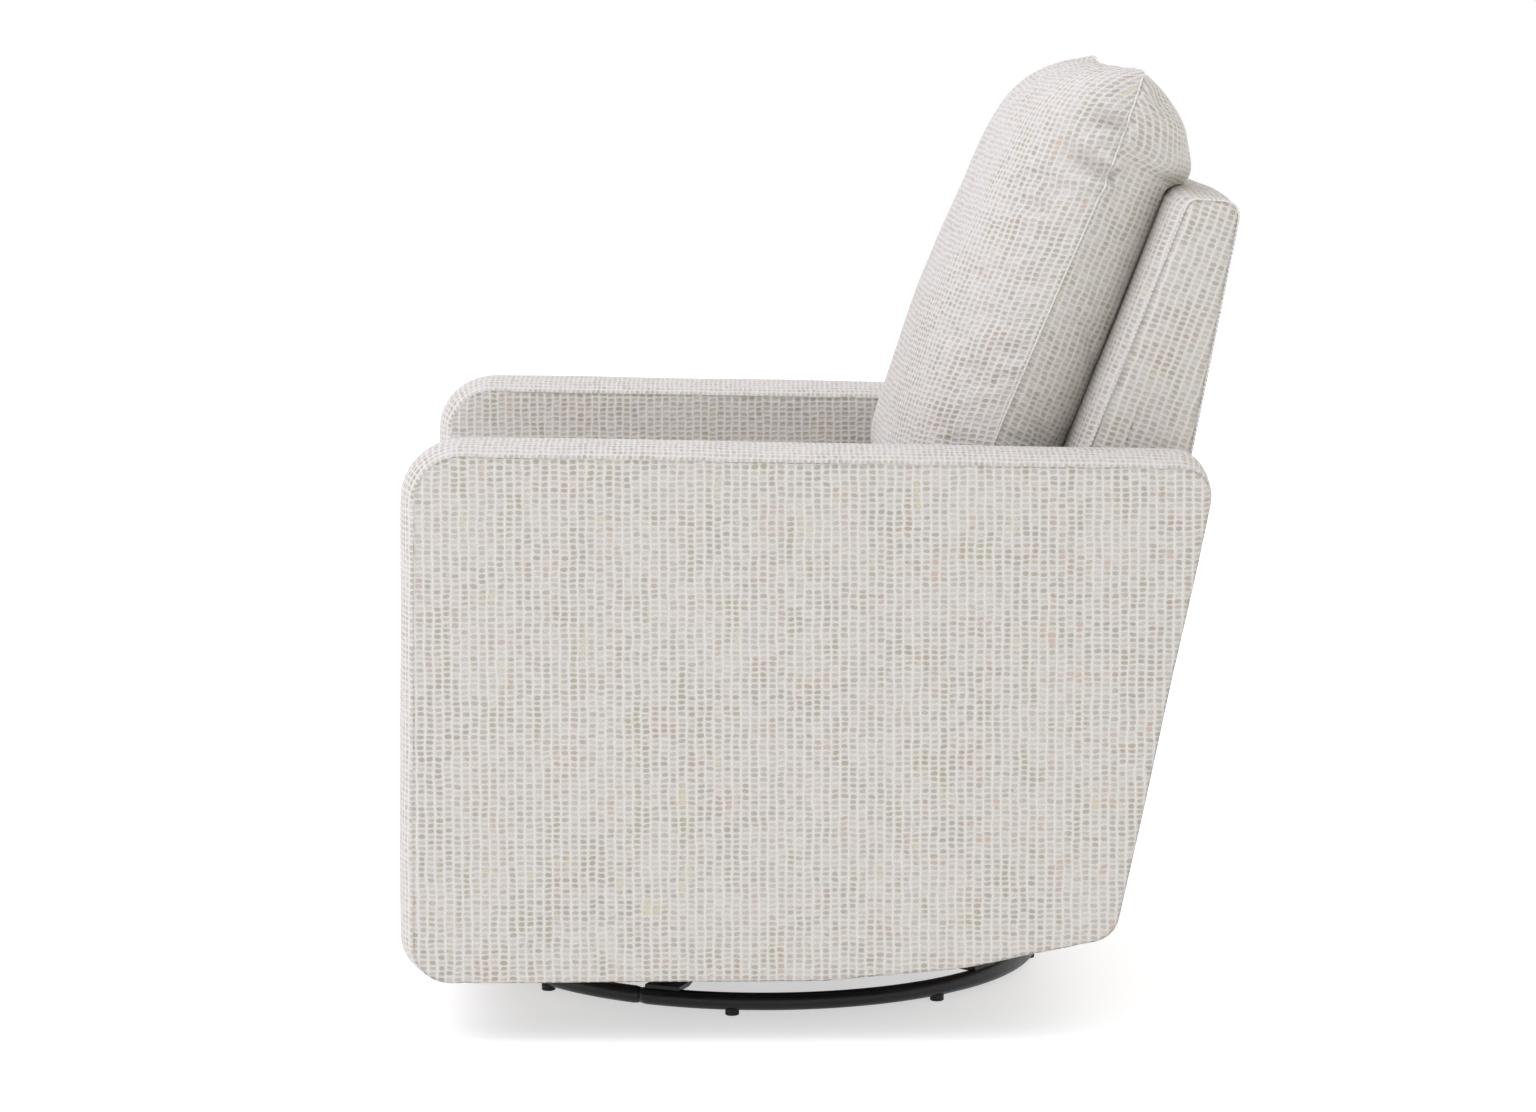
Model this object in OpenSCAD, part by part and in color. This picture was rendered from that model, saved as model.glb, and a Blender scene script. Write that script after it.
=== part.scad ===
// Swivel glider chair: a ring base, a swivel bearing, four hanging glider links and an
// upholstered chair. Millimetres, +Z up. The chair faces -Y, and the sitter's left is +X.
// The origin is on the floor, in the middle of the chair's footprint.

/* [Overall] */
// Width over both arms
overall_w = 800; // [700:1:960]
// Depth from the arm fronts to the top of the back
overall_d = 843; // [760:1:1012]
// Height of the arms at the front
arm_h = 596; // [560:1:680]
// Height of the back frame
back_h = 836; // [760:1:960]
// Height of the loose back pillow
pillow_h = 967; // [930:1:1100]

/* [Arms] */
// Width of one arm
arm_w = 130; // [100:1:160]
// Height of the arm bottoms above the floor
arm_clear = 62; // [50:1:80]
// How much the bottom edge rises towards the rear
arm_tail_rise = 42; // [0:1:60]
// Fall of the arm top over its length
arm_top_fall = 15; // [0:1:30]
// Radius of the top front corner
arm_front_r = 48; // [30:1:60]
// Radius of the bottom front corner
arm_toe_r = 36; // [20:1:60]
// Radius of the rear corners
arm_rear_r = 29; // [15:1:45]
// Crown of the front band over the side seams
front_crown = 16; // [4:1:20]
// Crown of the top band over the side seams
top_crown = 11; // [3:1:16]
// Crown of the rear band over the side seams
rear_crown = 4; // [2:1:10]
// Foam and cloth over the arm's wooden sides
arm_foam = 12; // [8:1:20]

/* [Back] */
// Lean of the outside back from vertical, degrees
rear_lean = 10.6; // [6:0.1:14]
// Lean of the inside back from vertical, degrees
inside_lean = 21.2; // [16:0.1:23]
// Thickness of the back frame at its top
back_top_t = 69; // [60:1:90]
// Foam and cloth over the back's wooden frame
back_foam = 14; // [8:1:18]

/* [Cushions] */
// Height of the top of the seat cushion
seat_h = 480; // [440:1:520]
// Thickness of the seat cushion
seat_t = 147; // [110:1:155]
// Depth of the back pillow, from its front to the inside back
pillow_t = 196; // [160:1:220]
// Gap between the back pillow and each arm
pillow_side_gap = 20; // [12:0.5:40]
// Gap between two upholstered pieces
soft_gap = 1; // [0.5:0.1:3]

/* [Seat frame] */
// Thickness of the hardwood rails
rail_t = 23; // [18:1:30]
// Depth of the hardwood rails
rail_h = 90; // [70:1:105]
// Thickness of the plywood panels
ply_t = 12; // [9:1:15]
// Thickness of the pad over the seat springs
deck_t = 14; // [8:1:20]
// Diameter of the spring wire
spring_wire = 4; // [3:0.1:5]
// Number of seat springs
spring_count = 5; // [3:1:7]

/* [Ring base] */
// Radius of the base ring, to the middle of its tube
ring_r = 286; // [240:1:340]
// Diameter of the ring tube
tube_d = 18; // [15:1:25]
// Wall of the ring tube
tube_wall = 1.5; // [1:0.1:2.5]
// Height of the floor glides below the tube
glide_h = 5; // [3:0.5:7]
// Diameter of a floor glide
glide_d = 13; // [10:1:16]
// Number of floor glides
glide_count = 8; // [6:1:12]
// Turn of the base from straight ahead, degrees
base_turn = 15; // [0:1:45]
// Half of the angle between the two cross bars, degrees
bar_splay = 37; // [30:1:60]
// Width of a cross bar
bar_w = 38; // [25:1:50]
// Thickness of a cross bar
bar_t = 5; // [4:0.5:6]
// Rise of the cross bars from the ring to the hub
bar_rise = 14; // [8:1:18]

/* [Swivel] */
// Distance of the swivel axis in front of the origin
swivel_forward = 52; // [0:1:80]
// Radius of the swivel bolt
bolt_r = 8; // [6:0.5:10]
// Radial clearance of the swivel bolt
bolt_clear = 0.08; // [0.05:0.01:0.1]
// Radius of the row of bearing balls
ball_row_r = 64; // [50:1:75]
// Radius of a bearing ball
ball_r = 3.5; // [3:0.5:4]
// Number of bearing balls
ball_count = 24; // [12:1:30]
// Thickness of a bearing race
race_t = 5; // [5:0.5:7]
// Gap between the two races
race_gap = 1; // [0.5:0.1:2]
// Thickness of the hub plate and the turntable plate
plate_t = 4; // [3:0.5:6]

/* [Glider] */
// Distance between the pivots of a link
link_len = 140; // [110:1:145]
// Distance between the front and rear links
link_gap = 320; // [260:1:340]
// Width of a link
link_w = 26; // [24:1:32]
// Thickness of a link
link_t = 5; // [4:0.5:6]
// Height of the lower pivots
pivot_z = 90; // [88:1:100]
// Radius of a pivot pin
pin_r = 5; // [4:0.5:6]
// Radial clearance of the pivot pins
pin_clear = 0.08; // [0.05:0.01:0.1]
// Swing of the links each way, degrees
glide_angle = 25; // [15:1:27]
// Thickness of the steel side plates
steel_t = 3; // [2:0.5:4]
// Space on each side of a link
link_side_gap = 5; // [4:0.5:6]
// Radius of a rubber bumper
bumper_r = 8; // [6:0.5:10]

/* [Hidden] */
$fn = 48;

// Colours
cloth = [0.86, 0.84, 0.80];
wood = [0.76, 0.62, 0.44];
plywood = [0.84, 0.73, 0.56];
black_steel = [0.08, 0.08, 0.09];
zinc = [0.70, 0.71, 0.73];
nylon = [0.90, 0.90, 0.86];
rubber = [0.13, 0.13, 0.13];
webbing = [0.35, 0.34, 0.32];

// Planes of the chair
front_y = -overall_d / 2;
rear_top_y = overall_d / 2;
half_w = overall_w / 2;
inner_x = half_w - arm_w;
pillow_w = 2 * (inner_x - pillow_side_gap);
swivel_y = -swivel_forward;
arm_front_lean = 0.7;
// Distance that the arms' rear bands stand behind the outside back, at their foot and top
arm_foot_proud = 5;
arm_top_proud = 14;
function rear_y(z) = rear_top_y - (back_h - z) * tan(rear_lean);
function inside_y(z) = rear_top_y - back_top_t - (back_h - z) * tan(inside_lean);
function arm_front_y(z) = front_y + (z - arm_clear) * tan(arm_front_lean);

// Heights of the seat, from the cushion down
seat_bottom_z = seat_h - seat_t;
deck_top_z = seat_bottom_z - soft_gap;
frame_top_z = deck_top_z - deck_t;
frame_bottom_z = frame_top_z - rail_h;
body_x = inner_x - soft_gap;
panel_t = 18;
panel_front_y = front_y + front_crown;
board_front_y = panel_front_y + panel_t;
rail_front_y = board_front_y + ply_t;
rear_cover_t = 10;
rear_board_y = rear_cover_t + ply_t;
rail_rear_y = rear_y(frame_bottom_z) - rear_board_y - 4;
rear_rail_y = inside_y(frame_top_z) + 62;
panel_bottom_z = arm_clear + 4;

// Heights of the base, from the floor up
tube_r = tube_d / 2;
ring_z = glide_h + tube_r;
bar_sink = 1.5;
bar_end_z = ring_z + tube_r - bar_sink;
bar_mid_z = bar_end_z + bar_rise;
hub_z = bar_mid_z + 2 * bar_t;
race_z = hub_z + plate_t;
upper_race_z = race_z + race_t + race_gap;
table_z = upper_race_z + race_t;
member_z = table_z + plate_t;
race_in_r = ball_row_r - 14;
race_out_r = ball_row_r + 14;
ball_clear = 0.05;
bolt_head_h = 6;
nut_h = 9;
washer_t = 2;
washer_r = 2 * bolt_r;
washer_lift = 0.1;
joint_angle = -42;
joint_gap = 0.24;
sleeve_angle = 6;

// Side to side places of the glider, from the wooden rail inwards
rail_x = inner_x - rail_t;
moving_x = rail_x - steel_t;
link_x = moving_x - link_side_gap - link_t;
bracket_x = link_x - link_side_gap - steel_t;
top_pivot_z = pivot_z + link_len;
bush_r = pin_r + 4;
bush_flange_r = pin_r + 6;
bush_flange_t = 1.5;
clip_t = 1.5;
clip_gap = 0.2;
clip_r = pin_r + 3;
pin_head_t = 5;
pin_head_r = pin_r + 4;
member_w = 30;
member_h = 20;
member_wall = 2;
member_gap = 170;
bumper_reach = 60;
stop_gap = 0.5;
bracket_rim = 22;
screw_r = 4;
screw_head_r = 6.5;
screw_head_t = 3.5;
screw_z = frame_bottom_z + rail_h * 0.4;
screw_pitch = link_gap * 0.36;

// Corners of an outline are [y, z, corner radius]
function flat(p) = [p[0], p[1]];
function unit(v) = v / norm(v);
function corner_arc(a, b, c, r, n) =
    let (
        u = unit(a - b),
        v = unit(c - b),
        half = acos(u * v) / 2,
        middle = b + unit(u + v) * r / sin(half),
        start = b + u * r / tan(half) - middle,
        from = atan2(start[1], start[0]),
        turn = (180 - 2 * half) * sign(cross(v, u))
    )
    [for (i = [0:n]) middle + r * [cos(from + turn * i / n), sin(from + turn * i / n)]];
function rounded(corners, n = 8) =
    let (count = len(corners))
    [
        for (i = [0:count - 1])
            let (a = corners[(i + count - 1) % count], b = corners[i], c = corners[(i + 1) % count])
            each (b[2] > 0 ? corner_arc(flat(a), flat(b), flat(c), b[2], n) : [flat(b)])
    ];

// Outline of a ribbon of width w along a path
function turned(v) = [-v[1], v[0]];
function side_of(path, h) =
    let (last = len(path) - 1)
    [
        for (i = [0:last])
            let (
                a = turned(unit(path[max(i, 1)] - path[max(i, 1) - 1])),
                b = turned(unit(path[min(i, last - 1) + 1] - path[min(i, last - 1)]))
            )
            path[i] + h * (a + b) / (1 + a * b)
    ];
function reversed(list) = [for (i = [len(list) - 1:-1:0]) list[i]];
function ribbon(path, w) = concat(side_of(path, w / 2), reversed(side_of(path, -w / 2)));

// Extrudes a side outline of [y, z] points from x0 to x1
module along_x(x0, x1) {
    translate([x0, 0, 0]) rotate([90, 0, 90]) linear_extrude(x1 - x0) children();
}

// Extrudes a front outline of [x, z] points from y0 to y1
module along_y(y0, y1) {
    translate([0, y1, 0]) rotate([90, 0, 0]) linear_extrude(y1 - y0) children();
}

// A box from one corner to the opposite corner
module block(low, high) {
    translate(low) cube(high - low);
}

// A rod along X
module rod_x(x0, x1, r) {
    translate([x0, 0, 0]) rotate([0, 90, 0]) cylinder(h = x1 - x0, r = r);
}

module right_side() {
    mirror([1, 0, 0]) children();
}

module both_sides() {
    children();
    right_side() children();
}

module at_swivel() {
    translate([0, swivel_y, 0]) children();
}

// The base stands turned from the chair by base_turn
module at_base() {
    at_swivel() rotate(base_turn) children();
}

// ---- Ring base ----

module ring_solid() {
    rotate_extrude() translate([ring_r, ring_z]) circle(tube_r);
}

module ring_half() {
    rotate([0, 0, joint_gap / 2]) rotate_extrude(angle = 180 - joint_gap)
        translate([ring_r, ring_z]) difference() {
            circle(tube_r);
            circle(tube_r - tube_wall);
        }
}

module base_ring_front() {
    color(black_steel) at_base() rotate(joint_angle + 180) ring_half();
}

module base_ring_rear() {
    color(black_steel) at_base() rotate(joint_angle) ring_half();
}

// Spigots that join the two halves of the ring
module ring_sleeves() {
    color(black_steel) at_base()
        for (side = [0, 180])
            rotate(joint_angle + side - sleeve_angle / 2) rotate_extrude(angle = sleeve_angle)
                translate([ring_r, ring_z]) difference() {
                    circle(tube_r - tube_wall);
                    circle(tube_r - 2 * tube_wall);
                }
}

module floor_glides() {
    color(rubber) at_base()
        difference() {
            for (i = [0:glide_count - 1])
                rotate((i + 0.5) * 360 / glide_count)
                    translate([ring_r, 0, 0]) cylinder(h = glide_h + 2, d = glide_d);
            ring_solid();
        }
}

// A flat bar across the ring, raised in its middle, with its ends on the tube
module cross_bar(angle, mid_z) {
    end = ring_r + 3;
    foot = ring_r - 24;
    shoulder = foot - 60;
    low_side = [
        [-end, bar_end_z], [-foot, bar_end_z], [-shoulder, mid_z],
        [shoulder, mid_z], [foot, bar_end_z], [end, bar_end_z]
    ];
    high_side = [for (p = reversed(low_side)) p + [0, bar_t]];
    difference() {
        rotate(angle) along_y(-bar_w / 2, bar_w / 2) polygon(concat(low_side, high_side));
        ring_solid();
        cylinder(h = hub_z, r = bolt_r);
    }
}

module cross_bar_lower() {
    color(black_steel) at_base() cross_bar(-bar_splay, bar_mid_z);
}

module cross_bar_upper() {
    color(black_steel) at_base() cross_bar(bar_splay, bar_mid_z + bar_t);
}

module hub_plate() {
    color(black_steel) at_base() translate([0, 0, hub_z]) difference() {
        cylinder(h = plate_t, r = race_out_r + 6);
        translate([0, 0, -1]) cylinder(h = plate_t + 2, r = bolt_r);
    }
}

// ---- Swivel bearing ----

module ball_groove() {
    translate([0, 0, race_z + race_t + race_gap / 2])
        rotate_extrude() translate([ball_row_r, 0]) circle(ball_r + ball_clear);
}

module race(z) {
    difference() {
        translate([0, 0, z]) cylinder(h = race_t, r = race_out_r);
        translate([0, 0, z - 1]) cylinder(h = race_t + 2, r = race_in_r);
        ball_groove();
    }
}

module bearing_lower_race() {
    color(zinc) at_swivel() race(race_z);
}

module bearing_upper_race() {
    color(zinc) at_swivel() race(upper_race_z);
}

module bearing_balls() {
    color(zinc) at_swivel()
        for (i = [0:ball_count - 1])
            rotate(i * 360 / ball_count)
                translate([ball_row_r, 0, race_z + race_t + race_gap / 2]) sphere(ball_r);
}

module swivel_bolt() {
    color(zinc) at_swivel() {
        translate([0, 0, bar_mid_z - bolt_head_h]) cylinder(h = bolt_head_h, r = 1.7 * bolt_r, $fn = 6);
        translate([0, 0, bar_mid_z]) cylinder(h = member_z - bar_mid_z + washer_t + nut_h + 3, r = bolt_r);
    }
}

// Washer and nut that keep the turntable on the bolt
module swivel_nut() {
    color(zinc) at_swivel() translate([0, 0, member_z + washer_lift]) difference() {
        union() {
            cylinder(h = washer_t, r = washer_r);
            translate([0, 0, washer_t]) cylinder(h = nut_h, r = 1.7 * bolt_r, $fn = 6);
        }
        translate([0, 0, -1]) cylinder(h = washer_t + nut_h + 2, r = bolt_r);
    }
}

// ---- Turntable ----

module turntable_plate() {
    half = (member_gap + member_w) / 2;
    color(black_steel) at_swivel() difference() {
        block([-half, -half, table_z], [half, half, member_z]);
        translate([0, 0, table_z - 1]) cylinder(h = plate_t + 2, r = bolt_r + bolt_clear);
    }
}

// Box section across the turntable, which carries both brackets
module cross_member(side) {
    half = member_w / 2;
    translate([0, swivel_y + side * member_gap / 2, member_z]) difference() {
        block([-bracket_x, -half, 0], [bracket_x, half, member_h]);
        block(
            [-bracket_x - 1, member_wall - half, member_wall],
            [bracket_x + 1, half - member_wall, member_h - member_wall]
        );
    }
}

module cross_member_front() {
    color(black_steel) cross_member(-1);
}

module cross_member_rear() {
    color(black_steel) cross_member(1);
}

// Pivots of the links, one for each end of the side plates
module at_pivots(z) {
    for (side = [-1, 1])
        translate([0, swivel_y + side * link_gap / 2, z]) children();
}

module glider_bracket() {
    foot = member_gap / 2 + member_w / 2 + 8;
    reach = link_gap / 2 + bracket_rim;
    outline = rounded([
        [swivel_y - foot, table_z, 8],
        [swivel_y + foot, table_z, 8],
        [swivel_y + reach, top_pivot_z - 34, 14],
        [swivel_y + reach, top_pivot_z + 16, 14],
        [swivel_y - reach, top_pivot_z + 16, 14],
        [swivel_y - reach, top_pivot_z - 34, 14]
    ]);
    difference() {
        along_x(bracket_x, bracket_x + steel_t) polygon(outline);
        at_pivots(top_pivot_z) rod_x(bracket_x - 1, bracket_x + steel_t + 1, pin_r);
    }
}

module glider_bracket_left() {
    color(black_steel) glider_bracket();
}

module glider_bracket_right() {
    color(black_steel) right_side() glider_bracket();
}

// Pins fixed in the brackets, each with a head inside and a clip outside its link
module upper_pivot_pins() {
    clip_x = link_x + link_t + bush_flange_t + clip_gap;
    color(zinc) both_sides() at_pivots(top_pivot_z) {
        rod_x(bracket_x - pin_head_t, bracket_x, pin_head_r);
        rod_x(bracket_x, clip_x + clip_t, pin_r);
        rod_x(clip_x, clip_x + clip_t, clip_r);
    }
}

// Rubber stops that each link meets at the end of its swing
module glide_bumpers() {
    reach = link_w / 2 + bumper_r + stop_gap;
    y = link_gap / 2 - bumper_reach * sin(glide_angle) - reach * cos(glide_angle);
    z = top_pivot_z - bumper_reach * cos(glide_angle) + reach * sin(glide_angle);
    color(rubber) both_sides()
        for (side = [-1, 1])
            translate([0, swivel_y + side * y, z])
                rod_x(bracket_x + steel_t, link_x + link_t + 1, bumper_r);
}

// ---- Links ----

module link_ends() {
    for (z = [pivot_z, top_pivot_z])
        translate([0, 0, z]) children();
}

module link(side) {
    translate([0, swivel_y + side * link_gap / 2, 0]) difference() {
        union() {
            block([link_x, -link_w / 2, pivot_z], [link_x + link_t, link_w / 2, top_pivot_z]);
            link_ends() rod_x(link_x, link_x + link_t, link_w / 2);
        }
        link_ends() rod_x(link_x - 1, link_x + link_t + 1, bush_r);
    }
}

module bushes(side) {
    far_x = link_x + link_t;
    translate([0, swivel_y + side * link_gap / 2, 0]) link_ends() difference() {
        union() {
            rod_x(link_x, far_x, bush_r);
            rod_x(link_x - bush_flange_t, link_x, bush_flange_r);
            rod_x(far_x, far_x + bush_flange_t, bush_flange_r);
        }
        rod_x(link_x - 3, far_x + 3, pin_r + pin_clear);
    }
}

module link_front_left() {
    color(zinc) link(-1);
}

module link_front_right() {
    color(zinc) right_side() link(-1);
}

module link_rear_left() {
    color(zinc) link(1);
}

module link_rear_right() {
    color(zinc) right_side() link(1);
}

module bushes_front_left() {
    color(nylon) bushes(-1);
}

module bushes_front_right() {
    color(nylon) right_side() bushes(-1);
}

module bushes_rear_left() {
    color(nylon) bushes(1);
}

module bushes_rear_right() {
    color(nylon) right_side() bushes(1);
}

// ---- Moving plates ----

module at_plate_screws() {
    for (i = [-1, 0, 1])
        translate([0, swivel_y + i * screw_pitch, screw_z]) children();
}

module moving_plate() {
    reach = link_gap / 2 + bracket_rim;
    outline = rounded([
        [swivel_y - reach, pivot_z - 16, 14],
        [swivel_y + reach, pivot_z - 16, 14],
        [swivel_y + reach, pivot_z + 24, 14],
        [swivel_y + screw_pitch + 30, screw_z + 24, 14],
        [swivel_y - screw_pitch - 30, screw_z + 24, 14],
        [swivel_y - reach, pivot_z + 24, 14]
    ]);
    difference() {
        along_x(moving_x, rail_x) polygon(outline);
        at_pivots(pivot_z) rod_x(moving_x - 1, rail_x + 1, pin_r);
        at_plate_screws() rod_x(moving_x - 1, rail_x + 1, screw_r);
    }
}

module moving_plate_left() {
    color(black_steel) moving_plate();
}

module moving_plate_right() {
    color(black_steel) right_side() moving_plate();
}

// Pins riveted into the moving plates, each with a clip inside its link
module lower_pivot_pins() {
    clip_x = link_x - bush_flange_t - clip_gap;
    color(zinc) both_sides() at_pivots(pivot_z) {
        rod_x(clip_x - clip_t, rail_x, pin_r);
        rod_x(clip_x - clip_t, clip_x, clip_r);
    }
}

module plate_screws() {
    color(zinc) both_sides() at_plate_screws() {
        rod_x(moving_x - screw_head_t, moving_x, screw_head_r);
        rod_x(moving_x, inner_x - 4, screw_r);
    }
}

// ---- Seat frame ----

arm_bolt_ys = [front_y + 136, front_y + 470];
arm_bolt_z = frame_top_z - 20;
arm_bolt_r = 4;

module at_arm_bolts() {
    for (y = arm_bolt_ys)
        translate([0, y, arm_bolt_z]) children();
}

module seat_rail() {
    difference() {
        block([rail_x, rail_front_y, frame_bottom_z], [inner_x, rail_rear_y, frame_top_z]);
        at_plate_screws() rod_x(rail_x - 1, inner_x - 4, screw_r);
        at_arm_bolts() rod_x(rail_x - 1, inner_x + 1, arm_bolt_r);
    }
}

module seat_rail_left() {
    color(wood) seat_rail();
}

module seat_rail_right() {
    color(wood) right_side() seat_rail();
}

module seat_rail_front() {
    color(wood) block([-rail_x, rail_front_y, frame_bottom_z], [rail_x, rail_front_y + rail_t, frame_top_z]);
}

module seat_rail_rear() {
    color(wood) block([-rail_x, rear_rail_y, frame_bottom_z], [rail_x, rear_rail_y + rail_t, frame_top_z]);
}

// Triangular blocks glued into the four corners of the seat frame
module corner_blocks() {
    leg = 45;
    front = rail_front_y + rail_t;
    color(wood) both_sides() translate([0, 0, frame_bottom_z + 4]) linear_extrude(rail_h - 30) {
        polygon([[rail_x, front], [rail_x, front + leg], [rail_x - leg, front]]);
        polygon([[rail_x, rear_rail_y], [rail_x - leg, rear_rail_y], [rail_x, rear_rail_y - leg]]);
    }
}

spring_pitch = 24;
spring_half_w = 24;
spring_z = frame_top_z - 8;
clip_half_w = 8;
clip_depth = 6;
function spring_x(i) = (i - (spring_count - 1) / 2) * 2 * rail_x / (spring_count + 0.4);

// Zigzag springs, hooked in clips on the front and rear rails
module seat_springs() {
    start = rail_front_y + rail_t + clip_depth / 2;
    length = rear_rail_y - clip_depth / 2 - start;
    bars = round(length / spring_pitch);
    pitch = length / bars;
    zigzag = [
        for (i = [0:bars])
            let (side = i % 2 == 0 ? 1 : -1)
            each [
                [-side * spring_half_w, start + i * pitch],
                [side * spring_half_w, start + i * pitch]
            ]
    ];
    color(zinc)
        for (i = [0:spring_count - 1])
            translate([spring_x(i), 0, spring_z - spring_wire])
                linear_extrude(spring_wire) polygon(ribbon(zigzag, spring_wire));
}

// Each clip holds the end bar of a spring in a groove across it
module spring_clips() {
    bar = spring_wire / 2;
    color(zinc)
        for (i = [0:spring_count - 1])
            for (y = [rail_front_y + rail_t, rear_rail_y - clip_depth])
                translate([spring_x(i), y + clip_depth / 2, 0]) difference() {
                    block(
                        [-clip_half_w, -clip_depth / 2, spring_z - 12],
                        [clip_half_w, clip_depth / 2, spring_z + 4]
                    );
                    block([-clip_half_w - 1, -bar, spring_z - spring_wire], [clip_half_w + 1, bar, spring_z]);
                }
}

module deck_pad() {
    color(cloth) block(
        [-body_x, board_front_y, frame_top_z],
        [body_x, inside_y(deck_top_z) - soft_gap, deck_top_z]
    );
}

// ---- Front and rear panels ----

module front_board() {
    color(plywood) block([-body_x, board_front_y, panel_bottom_z], [body_x, rail_front_y, frame_top_z]);
}

module front_panel() {
    top = deck_top_z;
    outline = rounded([
        [panel_front_y, panel_bottom_z, 6], [board_front_y, panel_bottom_z, 0],
        [board_front_y, top, 0], [panel_front_y, top, 12]
    ]);
    color(cloth) along_x(-body_x, body_x) polygon(outline);
}

// A slab that follows the outside back, from one depth behind its face to another
module rear_slab(depth0, depth1, z0, z1) {
    along_x(-body_x, body_x) polygon([
        [rear_y(z0) - depth1, z0], [rear_y(z0) - depth0, z0],
        [rear_y(z1) - depth0, z1], [rear_y(z1) - depth1, z1]
    ]);
}

module rear_board() {
    color(plywood) rear_slab(rear_cover_t, rear_board_y, arm_clear + arm_tail_rise, frame_top_z);
}

module rear_panel() {
    color(cloth) rear_slab(0, rear_cover_t, arm_clear + arm_tail_rise, deck_top_z);
}

// ---- Arms ----

// Side outline of an arm, drawn in by a depth at its front, top, rear and bottom
function arm_outline(front, top, rear, bottom, round = 1) =
    let (
        top_front_z = arm_h - top,
        top_rear_z = arm_h - arm_top_fall - top,
        base_z = arm_clear + bottom,
        tail_z = arm_clear + arm_tail_rise + bottom,
        tail_y = rear_y(tail_z) + arm_foot_proud - rear
    )
    rounded([
        [arm_front_y(base_z) + front, base_z, arm_toe_r * round],
        [front_y + 0.5 * overall_d, base_z, 200],
        [front_y + 0.66 * overall_d, base_z + 0.3 * arm_tail_rise, 200],
        [tail_y, tail_z, arm_rear_r * round],
        [rear_y(top_rear_z) + arm_top_proud - rear, top_rear_z, arm_rear_r * round],
        [arm_front_y(top_front_z) + front, top_front_z, arm_front_r * round]
    ], 6);

// A closed arm with crowned front, top and rear bands
module arm_solid() {
    slabs = 8;
    thin = 0.1;
    hull()
        for (i = [0:slabs]) {
            crown = pow(2 * i / slabs - 1, 2);
            x = inner_x + i * (arm_w - thin) / slabs;
            along_x(x, x + thin)
                polygon(arm_outline(front_crown * crown, top_crown * crown, rear_crown * crown, 0));
        }
}

// Outline of the wooden core inside an arm
function core_outline(bottom) =
    arm_outline(front_crown + arm_foam, top_crown + arm_foam, rear_crown + arm_foam, bottom, 0.6);
core_x0 = inner_x + arm_foam;
core_x1 = half_w - arm_foam;
core_lift = 2;
core_way_out = -60;

// Padded cover of an arm, open below where its wooden core goes in
module arm_cover() {
    difference() {
        arm_solid();
        along_x(core_x0, core_x1) polygon(core_outline(core_way_out));
        at_arm_bolts() rod_x(inner_x - 1, core_x0 + 1, arm_bolt_r);
    }
}

module arm_cover_left() {
    color(cloth) arm_cover();
}

module arm_cover_right() {
    color(cloth) right_side() arm_cover();
}

module arm_panels() {
    difference() {
        for (x = [core_x0, core_x1 - ply_t])
            along_x(x, x + ply_t) polygon(core_outline(core_lift));
        at_arm_bolts() rod_x(core_x0 - 1, core_x0 + ply_t + 1, arm_bolt_r);
    }
}

module arm_panels_left() {
    color(plywood) arm_panels();
}

module arm_panels_right() {
    color(plywood) right_side() arm_panels();
}

// Upright blocks that hold the two panels of an arm apart
module arm_blocks() {
    w = 45;
    spots = [
        arm_front_y(arm_h) + front_crown + arm_foam + 10,
        swivel_y,
        rear_y(arm_clear + arm_tail_rise) - 100
    ];
    for (y = spots)
        block(
            [core_x0 + ply_t, y, arm_clear + arm_tail_rise],
            [core_x1 - ply_t, y + w, arm_h - arm_top_fall - top_crown - arm_foam - 12]
        );
}

module arm_blocks_left() {
    color(wood) arm_blocks();
}

module arm_blocks_right() {
    color(wood) right_side() arm_blocks();
}

// Bolts that hold the arms to the seat rails
module arm_bolts() {
    color(zinc) both_sides() at_arm_bolts() {
        rod_x(rail_x - 4, rail_x, arm_bolt_r + 3.5);
        rod_x(rail_x, core_x0 + ply_t, arm_bolt_r);
    }
}

// ---- Back ----

frame_depth = 24;
back_frame_in = back_foam + 4;
back_frame_top_z = back_h - back_foam - 8;
strap_w = 50;
strap_t = 2;
strap_rows = 5;
strap_cols = 3;
tail_h = frame_top_z - frame_bottom_z;

// A slab that follows the inside back, from one depth behind its face to another
module inside_slab(x0, x1, depth0, depth1, z0, z1) {
    along_x(x0, x1) polygon([
        [inside_y(z0) + depth0, z0], [inside_y(z0) + depth1, z0],
        [inside_y(z1) + depth1, z1], [inside_y(z1) + depth0, z1]
    ]);
}

back_bottom_z = deck_top_z + soft_gap;

// Plywood sides of the back, with tails bolted inside the seat rails
module back_side_panels() {
    tail_w = 46;
    low = frame_bottom_z + 5;
    color(plywood) both_sides() along_x(rail_x - rail_t, rail_x) polygon([
        [rear_y(low) - frame_depth - tail_w, low],
        [rear_y(low) - frame_depth, low],
        [rear_y(back_frame_top_z) - frame_depth, back_frame_top_z],
        [inside_y(back_frame_top_z) + back_frame_in, back_frame_top_z],
        [inside_y(back_bottom_z) + back_frame_in, back_bottom_z],
        [rear_y(back_bottom_z) - frame_depth - tail_w, back_bottom_z]
    ]);
}

module back_rail(z0, z1) {
    inside_slab(-rail_x + rail_t, rail_x - rail_t, back_frame_in, back_frame_in + rail_t, z0, z1);
}

module back_top_rail() {
    color(wood) back_rail(back_frame_top_z - 70, back_frame_top_z - 4);
}

module back_lower_rail() {
    color(wood) back_rail(back_bottom_z + 6, back_bottom_z + 66);
}

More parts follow.
